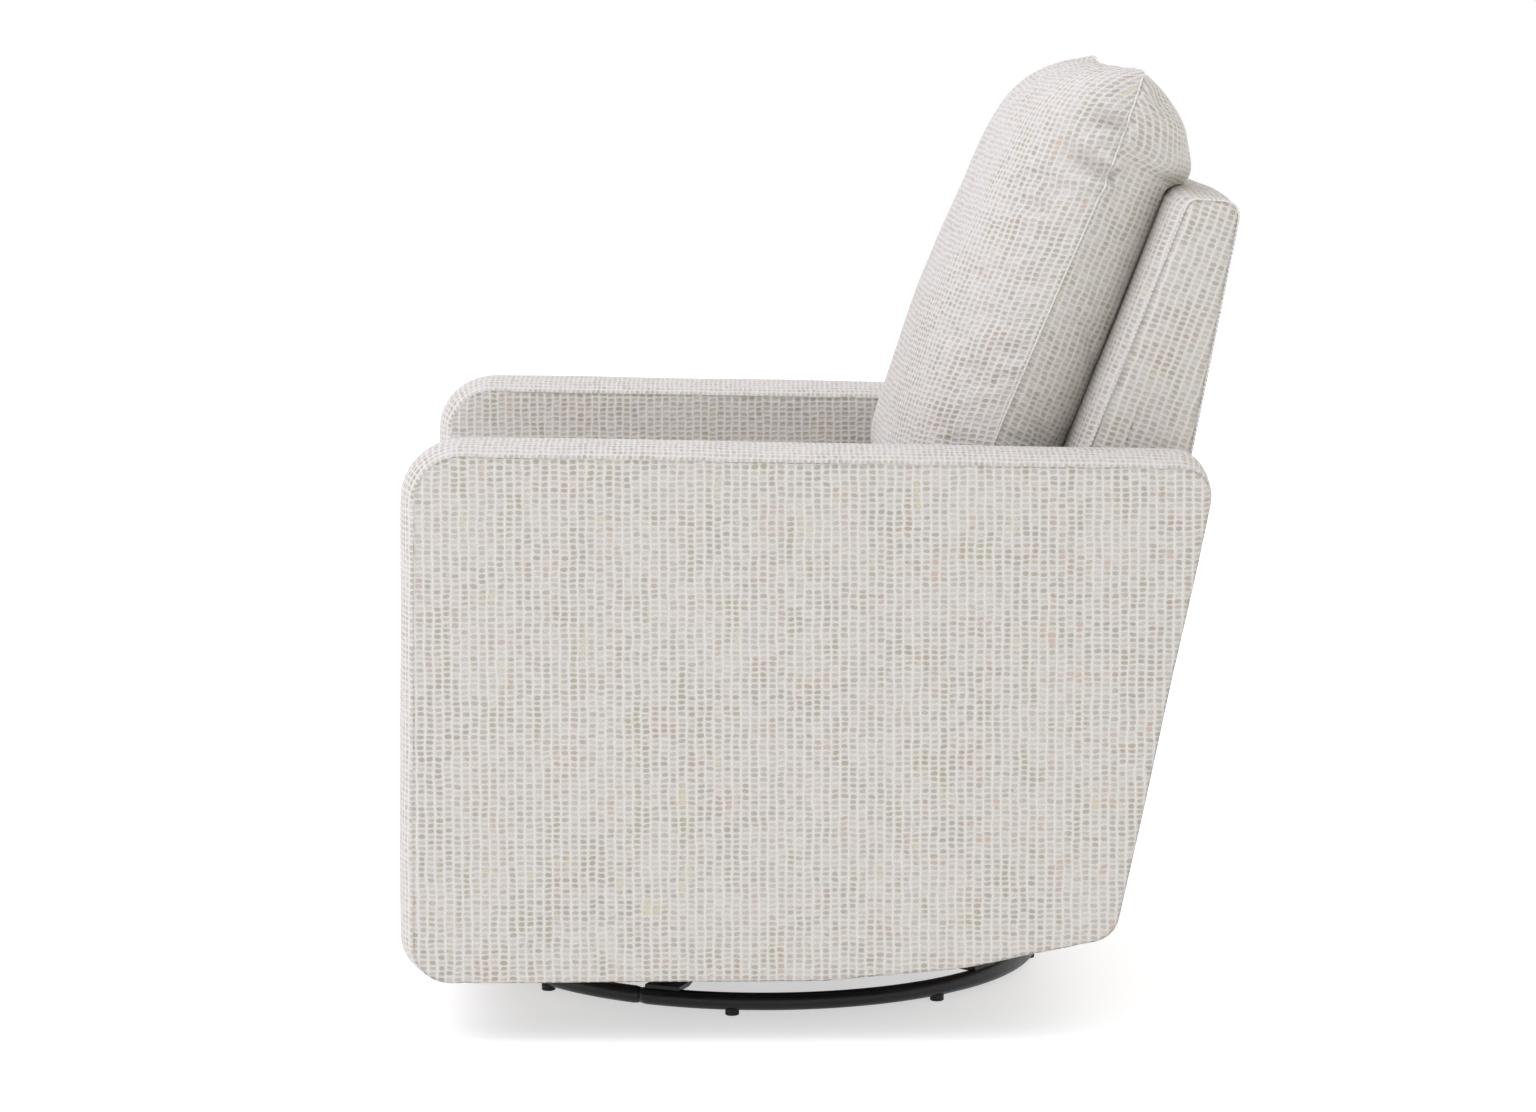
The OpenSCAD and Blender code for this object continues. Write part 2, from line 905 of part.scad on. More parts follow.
// Elastic straps across the front of the back frame
module back_webbing() {
    low = back_bottom_z + 20;
    high = back_frame_top_z - 20;
    row_pitch = (high - low - strap_w) / (strap_rows - 1);
    color(webbing) {
        for (i = [0:strap_rows - 1]) {
            z = low + i * row_pitch;
            inside_slab(-rail_x, rail_x, back_frame_in - strap_t, back_frame_in, z, z + strap_w);
        }
        for (i = [0:strap_cols - 1]) {
            x = (i - (strap_cols - 1) / 2) * 2.8 * strap_w;
            depth = back_frame_in - 2 * strap_t;
            inside_slab(x - strap_w / 2, x + strap_w / 2, depth, depth + strap_t, low, high);
        }
    }
}

// Padded cover of the back frame, open below
module back_cover() {
    inner_top = back_h - back_foam;
    wall_z = back_bottom_z - 1;
    outline = rounded([
        [inside_y(back_bottom_z), back_bottom_z, 0], [rear_y(back_bottom_z), back_bottom_z, 0],
        [rear_y(back_h - 14), back_h - 14, 10], [inside_y(back_h), back_h, 16]
    ]);
    color(cloth) difference() {
        along_x(-body_x, body_x) polygon(outline);
        along_x(-body_x + back_foam, body_x - back_foam) polygon([
            [inside_y(wall_z) + back_foam, wall_z],
            [rear_y(wall_z) - back_foam, wall_z],
            [rear_y(inner_top) - back_foam, inner_top - 6],
            [inside_y(inner_top) + back_foam, inner_top]
        ]);
    }
}

// ---- Cushions ----

module seat_cushion() {
    side_crown = 10;
    z0 = seat_bottom_z;
    front = front_y + 7;
    rear = inside_y(z0) - soft_gap;
    side_view = rounded([
        [front + 8, z0, 20], [rear, z0, 8], [rear, seat_h - 14, 24],
        [front + 0.5 * (rear - front), seat_h, 900], [front, seat_h - 12, 42]
    ]);
    front_view = rounded([
        [-body_x + 1, z0, 14], [body_x - 1, z0, 14], [body_x - 1, seat_h - side_crown, 30],
        [0, seat_h, 900], [-body_x + 1, seat_h - side_crown, 30]
    ]);
    color(cloth) intersection() {
        along_x(-body_x, body_x) polygon(side_view);
        along_y(front_y, rear_top_y) polygon(front_view);
    }
}

// The pillow leans on the inside back and hangs over its top
module back_pillow() {
    z0 = seat_h + soft_gap;
    hook_z = back_h + soft_gap;
    back_y = inside_y(z0) - 2 * soft_gap;
    side_view = rounded([
        [back_y, z0, 10],
        [inside_y(hook_z) - 2 * soft_gap, hook_z, 0],
        [rear_top_y - 28, hook_z, 9],
        [rear_top_y - 24, hook_z + 48, 30],
        [inside_y(pillow_h) - 72, pillow_h, 42],
        [inside_y(pillow_h) - pillow_t - 7, pillow_h, 75],
        [inside_y(z0 + 130) - pillow_t - 8, z0 + 130, 200],
        [inside_y(z0) - pillow_t + 4, z0, 34]
    ]);
    front_view = rounded([
        [-pillow_w / 2 + 6, z0, 28], [pillow_w / 2 - 6, z0, 28],
        [pillow_w / 2, 0.5 * (z0 + pillow_h), 600], [pillow_w / 2 - 4, pillow_h, 30],
        [-pillow_w / 2 + 4, pillow_h, 30], [-pillow_w / 2, 0.5 * (z0 + pillow_h), 600]
    ]);
    color(cloth) intersection() {
        along_x(-pillow_w / 2, pillow_w / 2) polygon(side_view);
        along_y(front_y, rear_top_y) polygon(front_view);
    }
}

base_ring_front();
base_ring_rear();
ring_sleeves();
floor_glides();
cross_bar_lower();
cross_bar_upper();
hub_plate();
bearing_lower_race();
bearing_balls();
swivel_bolt();
swivel_nut();
bearing_upper_race();
turntable_plate();
cross_member_front();
cross_member_rear();
glider_bracket_left();
glider_bracket_right();
upper_pivot_pins();
glide_bumpers();
link_front_left();
link_front_right();
link_rear_left();
link_rear_right();
bushes_front_left();
bushes_front_right();
bushes_rear_left();
bushes_rear_right();
moving_plate_left();
moving_plate_right();
lower_pivot_pins();
plate_screws();
seat_rail_left();
seat_rail_right();
seat_rail_front();
seat_rail_rear();
corner_blocks();
seat_springs();
spring_clips();
deck_pad();
front_board();
front_panel();
rear_board();
rear_panel();
arm_cover_left();
arm_cover_right();
arm_panels_left();
arm_panels_right();
arm_blocks_left();
arm_blocks_right();
arm_bolts();
back_side_panels();
back_top_rail();
back_lower_rail();
back_webbing();
back_cover();
seat_cushion();
back_pillow();
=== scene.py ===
"""Looks of the swivel glider chair: its upholstery, springs, base finishes, floor and light.

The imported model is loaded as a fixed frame, and every piece made here takes its place
from that frame. Lengths are in metres unless a name says otherwise.
"""
import logging
import math
from dataclasses import dataclass, field
from enum import Enum
from typing import Callable, Iterable, Iterator, Sequence

import bmesh
import bpy
import numpy as np
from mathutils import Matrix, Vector
from mathutils.bvhtree import BVHTree
from mathutils.kdtree import KDTree


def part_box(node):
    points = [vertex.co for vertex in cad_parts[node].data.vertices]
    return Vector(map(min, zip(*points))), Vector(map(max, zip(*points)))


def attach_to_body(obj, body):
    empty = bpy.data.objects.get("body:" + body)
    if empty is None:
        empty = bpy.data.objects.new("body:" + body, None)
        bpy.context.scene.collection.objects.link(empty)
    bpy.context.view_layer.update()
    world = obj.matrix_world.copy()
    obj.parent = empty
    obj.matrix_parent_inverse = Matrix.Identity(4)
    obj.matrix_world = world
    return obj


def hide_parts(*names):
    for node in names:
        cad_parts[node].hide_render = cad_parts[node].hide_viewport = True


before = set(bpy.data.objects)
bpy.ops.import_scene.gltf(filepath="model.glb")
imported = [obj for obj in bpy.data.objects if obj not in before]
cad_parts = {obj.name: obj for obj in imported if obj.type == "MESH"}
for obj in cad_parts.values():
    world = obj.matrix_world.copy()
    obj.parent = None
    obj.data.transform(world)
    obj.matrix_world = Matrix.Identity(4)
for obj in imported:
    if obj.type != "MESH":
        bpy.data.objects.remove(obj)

logging.basicConfig(level=logging.INFO, format="%(name)s: %(message)s")
log = logging.getLogger("chair")

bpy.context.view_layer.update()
UV_NAME = "cloth"
CHAIR = "chair"

Colour = tuple[float, float, float]
Spine = tuple[tuple[float, float], tuple[float, float]]


# ---------------------------------------------------------------- node graphs


class Graph:
    """A thin layer over a shader node tree, so that patterns read like formulas."""

    def __init__(self, name: str) -> None:
        """Start an empty material.

        Args:
            name: Name of the material.
        """
        self.material = bpy.data.materials.new(name)
        self.material.use_nodes = True
        self.tree = self.material.node_tree
        self.tree.nodes.clear()
        self.out = self.tree.nodes.new("ShaderNodeOutputMaterial")
        self.shader = self.tree.nodes.new("ShaderNodeBsdfPrincipled")
        self.tree.links.new(self.shader.outputs[0], self.out.inputs[0])

    def node(self, kind: str, **settings: object) -> bpy.types.Node:
        """Add a node and set its properties."""
        made = self.tree.nodes.new(kind)
        for key, value in settings.items():
            setattr(made, key, value)
        return made

    def feed(self, socket: bpy.types.NodeSocket, value: object) -> None:
        """Link a socket to another, or set its value."""
        if isinstance(value, bpy.types.NodeSocket):
            self.tree.links.new(value, socket)
        elif value is not None:
            socket.default_value = value

    def math(self, operation: str, *values: object) -> bpy.types.NodeSocket:
        """A Math node.

        Args:
            operation: Blender's name of the operation.
            values: Numbers or sockets.

        Returns:
            The node's value.
        """
        made = self.node("ShaderNodeMath", operation=operation)
        for socket, value in zip(made.inputs, values):
            self.feed(socket, value)
        return made.outputs[0]

    def ramp(self, value: object, low: float, high: float, to_low: float = 0,
             to_high: float = 1) -> bpy.types.NodeSocket:
        """Map a value smoothly from one range to another.

        Args:
            value: The socket to map.
            low: Start of the range it comes from.
            high: End of that range.
            to_low: What the start becomes.
            to_high: What the end becomes.

        Returns:
            The mapped value.
        """
        made = self.node("ShaderNodeMapRange", interpolation_type="SMOOTHSTEP")
        for socket, number in zip(made.inputs, (value, low, high, to_low, to_high)):
            self.feed(socket, number)
        return made.outputs[0]

    def mix(self, factor: object, first: object, second: object, blend: str = "MIX") -> bpy.types.NodeSocket:
        """Mix two colours.

        Args:
            factor: Share of the second colour.
            first: A colour or a socket.
            second: A colour or a socket.
            blend: Blender's name of the blend.

        Returns:
            The mixed colour.
        """
        made = self.node("ShaderNodeMix", data_type="RGBA", blend_type=blend)
        self.feed(made.inputs[0], factor)
        for socket, value in ((made.inputs[6], first), (made.inputs[7], second)):
            self.feed(socket, (*value, 1.0) if isinstance(value, tuple) else value)
        return made.outputs[2]

    def scaled(self, vector: object, scale: Sequence[float]) -> bpy.types.NodeSocket:
        """A vector scaled along each axis."""
        made = self.node("ShaderNodeMapping")
        self.feed(made.inputs["Vector"], vector)
        made.inputs["Scale"].default_value = scale
        return made.outputs[0]

    def place(self, scale: Sequence[float] = (1, 1, 1)) -> bpy.types.NodeSocket:
        """Object coordinates, scaled along each axis."""
        return self.scaled(self.node("ShaderNodeTexCoord").outputs["Object"], scale)

    def parts(self, vector: object) -> list[bpy.types.NodeSocket]:
        """The X, Y and Z of a vector."""
        made = self.node("ShaderNodeSeparateXYZ")
        self.feed(made.inputs[0], vector)
        return list(made.outputs)

    def noise(self, vector: object, scale: float, detail: float = 2.0, rough: float = 0.5) -> bpy.types.NodeSocket:
        """A noise value between 0 and 1.

        Args:
            vector: Where it is read.
            scale: Bumps per metre.
            detail: Octaves.
            rough: Strength of the fine octaves.

        Returns:
            The noise value.
        """
        made = self.node("ShaderNodeTexNoise")
        for key, value in (("Vector", vector), ("Scale", scale), ("Detail", detail), ("Roughness", rough)):
            self.feed(made.inputs[key], value)
        return made.outputs[0]

    def bump(self, height: object, distance: float, strength: float) -> None:
        """Feed a bumped normal to the shader.

        Args:
            height: Height between 0 and 1.
            distance: Depth of the relief.
            strength: How much of it shows.
        """
        made = self.node("ShaderNodeBump")
        for key, value in (("Height", height), ("Distance", distance), ("Strength", strength)):
            self.feed(made.inputs[key], value)
        self.feed(self.shader.inputs["Normal"], made.outputs[0])

    def set(self, **values: object) -> None:
        """Set or link sockets of the shader, with underscores for spaces."""
        for key, value in values.items():
            socket = self.shader.inputs[key.replace("_", " ")]
            self.feed(socket, (*value, 1.0) if isinstance(value, tuple) and len(value) == 3 else value)


# ---------------------------------------------------------------- finishes


@dataclass(frozen=True)
class BasketCloth:
    """Chunky ivory basket weave with a few warm flecks, painted shade darkening the slots between its ribs, and a
    painted highlight on the rib crests.
    """

    name: str = "ivory_basket_weave"
    rib_pitch: float = 0.0088
    row_pitch: float = 0.0055
    yarn: Colour = (0.635, 0.605, 0.565)
    # Painted highlight on the rib crests, and also the colour of random pale fibres.
    bright_yarn: Colour = (0.73, 0.70, 0.67)
    # Painted shade in the recessed slots between ribs and in the twist grooves; it also darkens random fibres.
    slot: Colour = (0.38, 0.362, 0.312)
    warm_slot: Colour = (0.42, 0.34, 0.27)
    tan_fleck: Colour = (0.56, 0.43, 0.36)
    straw_fleck: Colour = (0.60, 0.56, 0.42)
    olive_fleck: Colour = (0.38, 0.365, 0.27)
    relief: float = 0.0012
    strength: float = 0.8

    def material(self) -> bpy.types.Material:
        """Build the cloth from its own UV map, which is in metres.

        Returns:
            The material.
        """
        g = Graph(self.name)
        uv = g.node("ShaderNodeUVMap", uv_map=UV_NAME).outputs[0]
        over, up = g.parts(uv)[:2]
        wander = g.noise(uv, 38.0, 2.0)
        across = g.math("ADD", g.math("DIVIDE", over, self.rib_pitch), g.math("MULTIPLY", wander, 0.55))
        rib = g.math("FLOOR", across)
        from_rib = g.math("ABSOLUTE", g.math("SUBTRACT", g.math("FRACT", across), 0.5))
        drift = g.math("MULTIPLY", self._random(g, rib, 0.0, 7.3), 0.22)
        along = g.math("ADD", g.math("DIVIDE", up, self.row_pitch), drift)
        along = g.math("ADD", along, g.math("MULTIPLY", g.noise(uv, 70.0, 1.0), 0.75))
        row = g.math("FLOOR", along)
        from_row = g.math("ABSOLUTE", g.math("SUBTRACT", g.math("FRACT", along), 0.5))
        cell, other = self._random(g, rib, row, 0.0), self._random(g, rib, row, 31.7)

        # Mask of the recessed slots between ribs; dark is the share of painted shade there, stronger in random cells
        # and patches.
        width = g.math("MULTIPLY_ADD", other, 0.10, 0.34)
        slot_across = g.math("POWER", g.math("DIVIDE", from_rib, width), 2.6)
        height = g.math("MULTIPLY_ADD", cell, 0.12, 0.30)
        slot_along = g.math("POWER", g.math("DIVIDE", from_row, height), 2.2)
        open_slot = g.ramp(g.math("ADD", slot_across, slot_along), 1.15, 0.25)
        patch = g.ramp(g.noise(uv, 11.0, 3.0, 0.6), 0.36, 0.64, 0.62, 1.0)
        depth = g.math("MULTIPLY", g.ramp(cell, 0.0, 0.9, 0.42, 1.0), patch)
        dark = g.math("MULTIPLY", open_slot, depth)

        fibre = g.noise(g.scaled(uv, (1.0, 0.45, 1.0)), 820.0, 2.0, 0.6)
        # ridge marks the rib crests; light is a painted highlight there, mixed with random tone per cell.
        ridge = g.ramp(from_rib, 0.30, 0.47)
        light = g.math("MULTIPLY_ADD", ridge, 0.60, g.math("MULTIPLY", other, 0.40))
        turns = g.math("ADD", g.math("MULTIPLY", across, 5.0 * math.pi), g.math("MULTIPLY", along, 4.0 * math.pi))
        twist = g.math("SINE", g.math("ADD", turns, g.math("MULTIPLY", g.noise(uv, 150.0, 1.0), 9.0)))
        yarn = g.mix(light, self.yarn, self.bright_yarn)
        # Painted shade in the grooves of the yarn's twist.
        yarn = g.mix(g.ramp(twist, -1.0, 1.0, 0.0, 0.22), yarn, self.slot)
        yarn = g.mix(g.ramp(fibre, 0.35, 0.75, 0.0, 0.24), yarn, self.slot)
        yarn = g.mix(g.ramp(g.noise(uv, 620.0, 2.0, 0.7), 0.52, 0.66, 0.0, 0.45), yarn, self.bright_yarn)
        # Painted shade colour laid into the slots, warmer in random patches.
        slot = g.mix(g.ramp(g.noise(uv, 26.0, 3.0, 0.6), 0.48, 0.60), self.slot, self.warm_slot)
        cloth = g.mix(dark, yarn, slot)
        streaks = g.scaled(uv, (1.0, 0.42, 1.0))
        where = g.ramp(g.noise(streaks, 62.0, 1.0), 0.60, 0.70)
        warm = g.math("MULTIPLY", where, g.ramp(cell, 0.50, 0.72))
        warm = g.math("MULTIPLY", warm, g.math("MULTIPLY_ADD", open_slot, 0.5, 0.28))
        fleck = g.mix(g.ramp(self._random(g, rib, 0.0, 12.1), 0.45, 0.55), self.tan_fleck, self.straw_fleck)
        cloth = g.mix(warm, cloth, fleck)
        shade = g.math("MULTIPLY", g.ramp(g.noise(streaks, 47.0, 1.0), 0.57, 0.70), open_slot)
        cloth = g.mix(g.math("MULTIPLY", shade, 0.75), cloth, self.olive_fleck)

        round_rib = g.math("MULTIPLY", ridge, 0.5)
        round_row = g.math("MULTIPLY", g.ramp(from_row, 0.12, 0.5), 0.35)
        thread = g.math("SUBTRACT", g.math("MAXIMUM", round_rib, round_row), g.math("MULTIPLY", open_slot, 0.4))
        strands = g.math("MULTIPLY_ADD", twist, -0.07, g.math("MULTIPLY", fibre, 0.22))
        relief = g.math("ADD", thread, strands)
        g.bump(relief, self.relief, self.strength)
        g.set(Base_Color=cloth, Roughness=0.95, Sheen_Weight=0.12, Sheen_Roughness=0.5, Specular_IOR_Level=0.15)
        g.set(Sheen_Tint=(0.95, 0.94, 0.96))
        return g.material

    @staticmethod
    def _random(g: Graph, x: object, y: object, z: float) -> bpy.types.NodeSocket:
        """One random number for each whole-numbered place."""
        joined = g.node("ShaderNodeCombineXYZ")
        for socket, value in zip(joined.inputs, (x, y, z)):
            g.feed(socket, value)
        made = g.node("ShaderNodeTexWhiteNoise", noise_dimensions="3D")
        g.feed(made.inputs["Vector"], joined.outputs[0])
        return made.outputs["Value"]


@dataclass(frozen=True)
class SeamYarn:
    """Pale yarn of the seams."""

    name: str = "seam_yarn"
    colour: Colour = (0.74, 0.72, 0.68)

    def material(self) -> bpy.types.Material:
        """Build the yarn with fine twist lines."""
        g = Graph(self.name)
        shade = g.noise(g.place(), 700.0, 2.0)
        g.set(Base_Color=g.mix(g.ramp(shade, 0.35, 0.7, 0.0, 0.35), self.colour, (0.55, 0.52, 0.47)))
        g.set(Roughness=0.9, Sheen_Weight=0.2)
        g.bump(shade, 0.0003, 0.6)
        return g.material


@dataclass(frozen=True)
class PowderCoat:
    """Satin powder coat on steel, with fine orange peel and worn specks."""

    name: str
    colour: Colour = (0.008, 0.008, 0.009)
    roughness: float = 0.34

    def material(self) -> bpy.types.Material:
        """Build the coat."""
        g = Graph(self.name)
        where = g.place()
        peel = g.noise(where, 900.0, 2.0)
        dust = g.ramp(g.noise(where, 22.0, 5.0, 0.65), 0.55, 0.78, 0.0, 0.12)
        g.set(Base_Color=g.mix(dust, self.colour, (0.11, 0.11, 0.115)))
        g.set(Roughness=g.ramp(g.noise(where, 60.0, 3.0), 0.3, 0.7, self.roughness - 0.05, self.roughness + 0.1))
        g.set(Metallic=0.0, Specular_IOR_Level=0.28, Coat_Weight=0.12, Coat_Roughness=0.18)
        g.bump(peel, 0.00025, 0.35)
        return g.material


@dataclass(frozen=True)
class PlatedSteel:
    """Zinc-plated or drawn steel with brushed streaks."""

    name: str
    colour: Colour = (0.60, 0.61, 0.64)
    roughness: float = 0.33
    streak: Sequence[float] = (40.0, 900.0, 900.0)

    def material(self) -> bpy.types.Material:
        """Build the metal."""
        g = Graph(self.name)
        lines = g.noise(g.place(self.streak), 1.0, 3.0, 0.6)
        cloud = g.noise(g.place(), 40.0, 3.0)
        dull = tuple(0.72 * c for c in self.colour)
        g.set(Base_Color=g.mix(g.ramp(cloud, 0.35, 0.7, 0.0, 0.5), self.colour, dull))
        g.set(Roughness=g.ramp(lines, 0.3, 0.7, self.roughness - 0.08, self.roughness + 0.14), Metallic=1.0)
        g.bump(lines, 0.0002, 0.3)
        return g.material


class Grain(Enum):
    """How the wood of a piece is made up."""

    SOLID = "solid"
    PLY = "ply"


@dataclass(frozen=True)
class Timber:
    """Sawn hardwood or plywood, with long grain along the piece."""

    name: str
    grain: Grain
    pale: Colour
    dark: Colour

    def material(self) -> bpy.types.Material:
        """Build the wood."""
        g = Graph(self.name)
        stretched = (30.0, 3.0, 30.0) if self.grain is Grain.SOLID else (26.0, 2.2, 9.0)
        where = g.place(stretched)
        figure = g.noise(where, 1.0, 5.0, 0.62)
        pores = g.noise(g.place((900.0, 45.0, 900.0)), 1.0, 2.0)
        wood = g.mix(g.ramp(figure, 0.32, 0.68), self.pale, self.dark)
        if self.grain is Grain.PLY:
            rings = g.node("ShaderNodeTexWave", bands_direction="X")
            g.feed(rings.inputs["Vector"], g.place())
            rings.inputs["Scale"].default_value = 120.0
            wood = g.mix(g.ramp(rings.outputs[1], 0.3, 0.7, 0.0, 0.22), wood, self.dark)
        wood = g.mix(g.ramp(pores, 0.58, 0.72, 0.0, 0.45), wood, tuple(0.5 * c for c in self.dark))
        g.set(Base_Color=wood, Roughness=0.68)
        g.bump(g.math("SUBTRACT", figure, g.math("MULTIPLY", pores, 0.6)), 0.0006, 0.5)
        return g.material


@dataclass(frozen=True)
class Moulded:
    """Moulded plastic or rubber with a fine spark-eroded grain."""

    name: str
    colour: Colour
    roughness: float = 0.5
    relief: float = 0.0002

    def material(self) -> bpy.types.Material:
        """Build the plastic."""
        g = Graph(self.name)
        grain = g.noise(g.place(), 1400.0, 2.0)
        haze = g.noise(g.place(), 45.0, 3.0)
        worn = tuple(0.6 * c + 0.03 for c in self.colour)
        g.set(Base_Color=g.mix(g.ramp(haze, 0.4, 0.7, 0.0, 0.25), self.colour, worn))
        g.set(Roughness=g.ramp(grain, 0.3, 0.7, self.roughness - 0.06, self.roughness + 0.1))
        g.bump(grain, self.relief, 0.5)
        return g.material


@dataclass(frozen=True)
class Tape:
    """Flat woven strap or lining cloth in a plain weave, read from object coordinates."""

    name: str
    colour: Colour
    light: Colour
    pitch: float = 0.0022

    def material(self) -> bpy.types.Material:
        """Build the plain weave."""
        g = Graph(self.name)
        lanes = []
        for along in g.parts(g.place()):
            wave = g.math("SINE", g.math("MULTIPLY", along, 2 * math.pi / self.pitch))
            lanes.append(g.math("MULTIPLY", wave, 0.5))
        height = g.math("ADD", g.math("MULTIPLY", lanes[0], lanes[1]), g.math("MULTIPLY", lanes[0], lanes[2]))
        shade = g.ramp(height, -0.25, 0.3)
        cloud = g.noise(g.place(), 18.0, 4.0)
        cloth = g.mix(shade, self.colour, self.light)
        g.set(Base_Color=g.mix(g.ramp(cloud, 0.35, 0.7, 0.0, 0.3), cloth, self.colour), Roughness=0.88)
        g.bump(shade, 0.0004, 0.6)
        return g.material


@dataclass(frozen=True)
class PaleFloor:
    """Matte white studio floor with the faintest mottle."""

    name: str = "studio_floor"
    colour: Colour = (0.62, 0.62, 0.62)
    glow: float = 0.56

    def material(self) -> bpy.types.Material:
        """Build the floor, lit from below like a light table."""
        g = Graph(self.name)
        cloud = g.noise(g.place(), 1.5, 3.0)
        g.set(Base_Color=g.mix(g.ramp(cloud, 0.3, 0.7, 0.0, 0.05), self.colour, (0.58, 0.58, 0.59)), Roughness=0.8)
        g.set(Emission_Color=(1.0, 1.0, 1.0), Emission_Strength=self.glow)
        return g.material


class Palette:
    """All finishes of the chair, built once."""

    def __init__(self) -> None:
        """Build every material."""
        self.cloth = BasketCloth().material()
        self.seam = SeamYarn().material()
        self.base = PowderCoat("base_powder_coat").material()
        self.frame = PowderCoat("frame_powder_coat", (0.02, 0.02, 0.022), 0.42).material()
        self.zinc = PlatedSteel("zinc_plate").material()
        self.spring = PlatedSteel("oiled_spring_wire", (0.20, 0.20, 0.21), 0.38, (300.0, 300.0, 300.0)).material()
        self.hardwood = Timber("beech_rails", Grain.SOLID, (0.60, 0.42, 0.25), (0.42, 0.26, 0.14)).material()
        self.plywood = Timber("birch_plywood", Grain.PLY, (0.68, 0.52, 0.34), (0.50, 0.35, 0.20)).material()
        self.glide = Moulded("glide_plastic", (0.012, 0.012, 0.012), 0.55).material()
        self.rubber = Moulded("bumper_rubber", (0.02, 0.02, 0.02), 0.7, 0.0004).material()
        self.nylon = Moulded("nylon", (0.72, 0.71, 0.66), 0.42).material()
        self.webbing = Tape("elastic_webbing", (0.05, 0.048, 0.045), (0.16, 0.155, 0.15)).material()
        self.floor = PaleFloor().material()
        self.lining = Tape("black_dust_cloth", (0.012, 0.012, 0.013), (0.05, 0.05, 0.052), 0.0016).material()
        self.zip_metal = PlatedSteel("zip_metal", (0.42, 0.40, 0.36), 0.35).material()


# ---------------------------------------------------------------- mesh helpers


def placed(name: str, data: bpy.types.ID) -> bpy.types.Object:
    """Link a new object with the given data into the scene."""
    made = bpy.data.objects.new(name, data)
    bpy.context.scene.collection.objects.link(made)
    return made


def attach(obj: bpy.types.Object, body: str, node: str | None = None) -> bpy.types.Object:
    """Fix a piece to a body, hide the plain node that it stands for, and log its faces.

    Args:
        obj: The piece.
        body: The body that it rides on.
        node: The plain node that it replaces, if any.

    Returns:
        The piece.
    """
    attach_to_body(obj, body)
    if node:
        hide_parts(node)
    log.info("%s: %d faces", obj.name, len(obj.data.polygons))
    return obj


def smoothed(obj: bpy.types.Object) -> None:
    """Give a pad one level of subdivision."""
    level = obj.modifiers.new("smooth", "SUBSURF")
    level.levels = level.render_levels = 1


def quads(rows: int, columns: int) -> Iterator[list[tuple[int, int]]]:
    """The corners of each face of a grid, as row and column.

    Args:
        rows: Rows of faces.
        columns: Faces in a row.

    Yields:
        Four corners, in order round the face.
    """
    for r in range(rows):
        for c in range(columns):
            yield [(r, c), (r, c + 1), (r + 1, c + 1), (r + 1, c)]


def make_piece(name: str, points: np.ndarray, faces: Iterable[Sequence[int]],
               uvs: Sequence[Sequence[float]] | None, material: bpy.types.Material) -> bpy.types.Object:
    """Make a smooth mesh object at the origin.

    Args:
        name: Name of the piece.
        points: Its vertices.
        faces: Vertex numbers of each face.
        uvs: One UV pair for each face corner, or None.
        material: Its material.

    Returns:
        The new object.
    """
    mesh = bpy.data.meshes.new(name)
    mesh.from_pydata([tuple(map(float, p)) for p in points], [], [tuple(f) for f in faces])
    if uvs is not None:
        layer = mesh.uv_layers.new(name=UV_NAME)
        layer.data.foreach_set("uv", np.asarray(uvs, np.float32).ravel())
    mesh.polygons.foreach_set("use_smooth", [True] * len(mesh.polygons))
    mesh.materials.append(material)
    mesh.update()
    return placed(name, mesh)


def tidy_mesh(obj: bpy.types.Object, merge: float = 1e-5) -> None:
    """Merge doubles, drop empty faces and point every face outwards.

    Args:
        obj: The piece.
        merge: Distance under which vertices are joined.
    """
    work = bmesh.new()
    work.from_mesh(obj.data)
    bmesh.ops.remove_doubles(work, verts=work.verts, dist=merge)
    bmesh.ops.dissolve_degenerate(work, edges=work.edges, dist=merge)
    bmesh.ops.recalc_face_normals(work, faces=work.faces)
    work.to_mesh(obj.data)
    work.free()
    obj.data.update()


def mesh_points(mesh: bpy.types.Mesh) -> np.ndarray:
    """The vertices of a mesh as an array."""
    flat = np.empty(len(mesh.vertices) * 3, np.float32)
    mesh.vertices.foreach_get("co", flat)
    return flat.reshape(-1, 3).astype(float)


def coordinates(obj: bpy.types.Object) -> np.ndarray:
    """The vertices of a mesh object as an array."""
    return mesh_points(obj.data)


def set_coordinates(obj: bpy.types.Object, points: np.ndarray) -> None:
    """Move the vertices of a mesh object."""
    obj.data.vertices.foreach_set("co", points.astype(np.float32).ravel())
    obj.data.update()


def vertex_normals(obj: bpy.types.Object) -> np.ndarray:
    """The vertex normals of a mesh object as an array."""
    return np.array([v.normal for v in obj.data.vertices], float)


def wavy(points: np.ndarray, size: float, seed: float) -> np.ndarray:
    """A smooth pattern between -1 and 1, the same on each run.

    Args:
        points: Where it is read.
        size: Length of its waves.
        seed: Shift of its phases.

    Returns:
        One value for each point.
    """
    p = points * (2 * math.pi / size)
    a = np.sin(p @ (0.9, 0.4, 0.3) + 1.7 * seed) + np.sin(p @ (-0.3, 0.8, 0.55) + 2.9 * seed)
    b = np.sin(p @ (0.35, -0.5, 0.8) + 4.1 * seed) + np.sin(1.7 * (p @ (0.5, 0.5, -0.6)) + 0.6 * seed)
    return (a + b) / 4


def ease(x: np.ndarray | float) -> np.ndarray | float:
    """Smooth step from 0 to 1."""
    t = np.clip(x, 0.0, 1.0)
    return t * t * (3 - 2 * t)


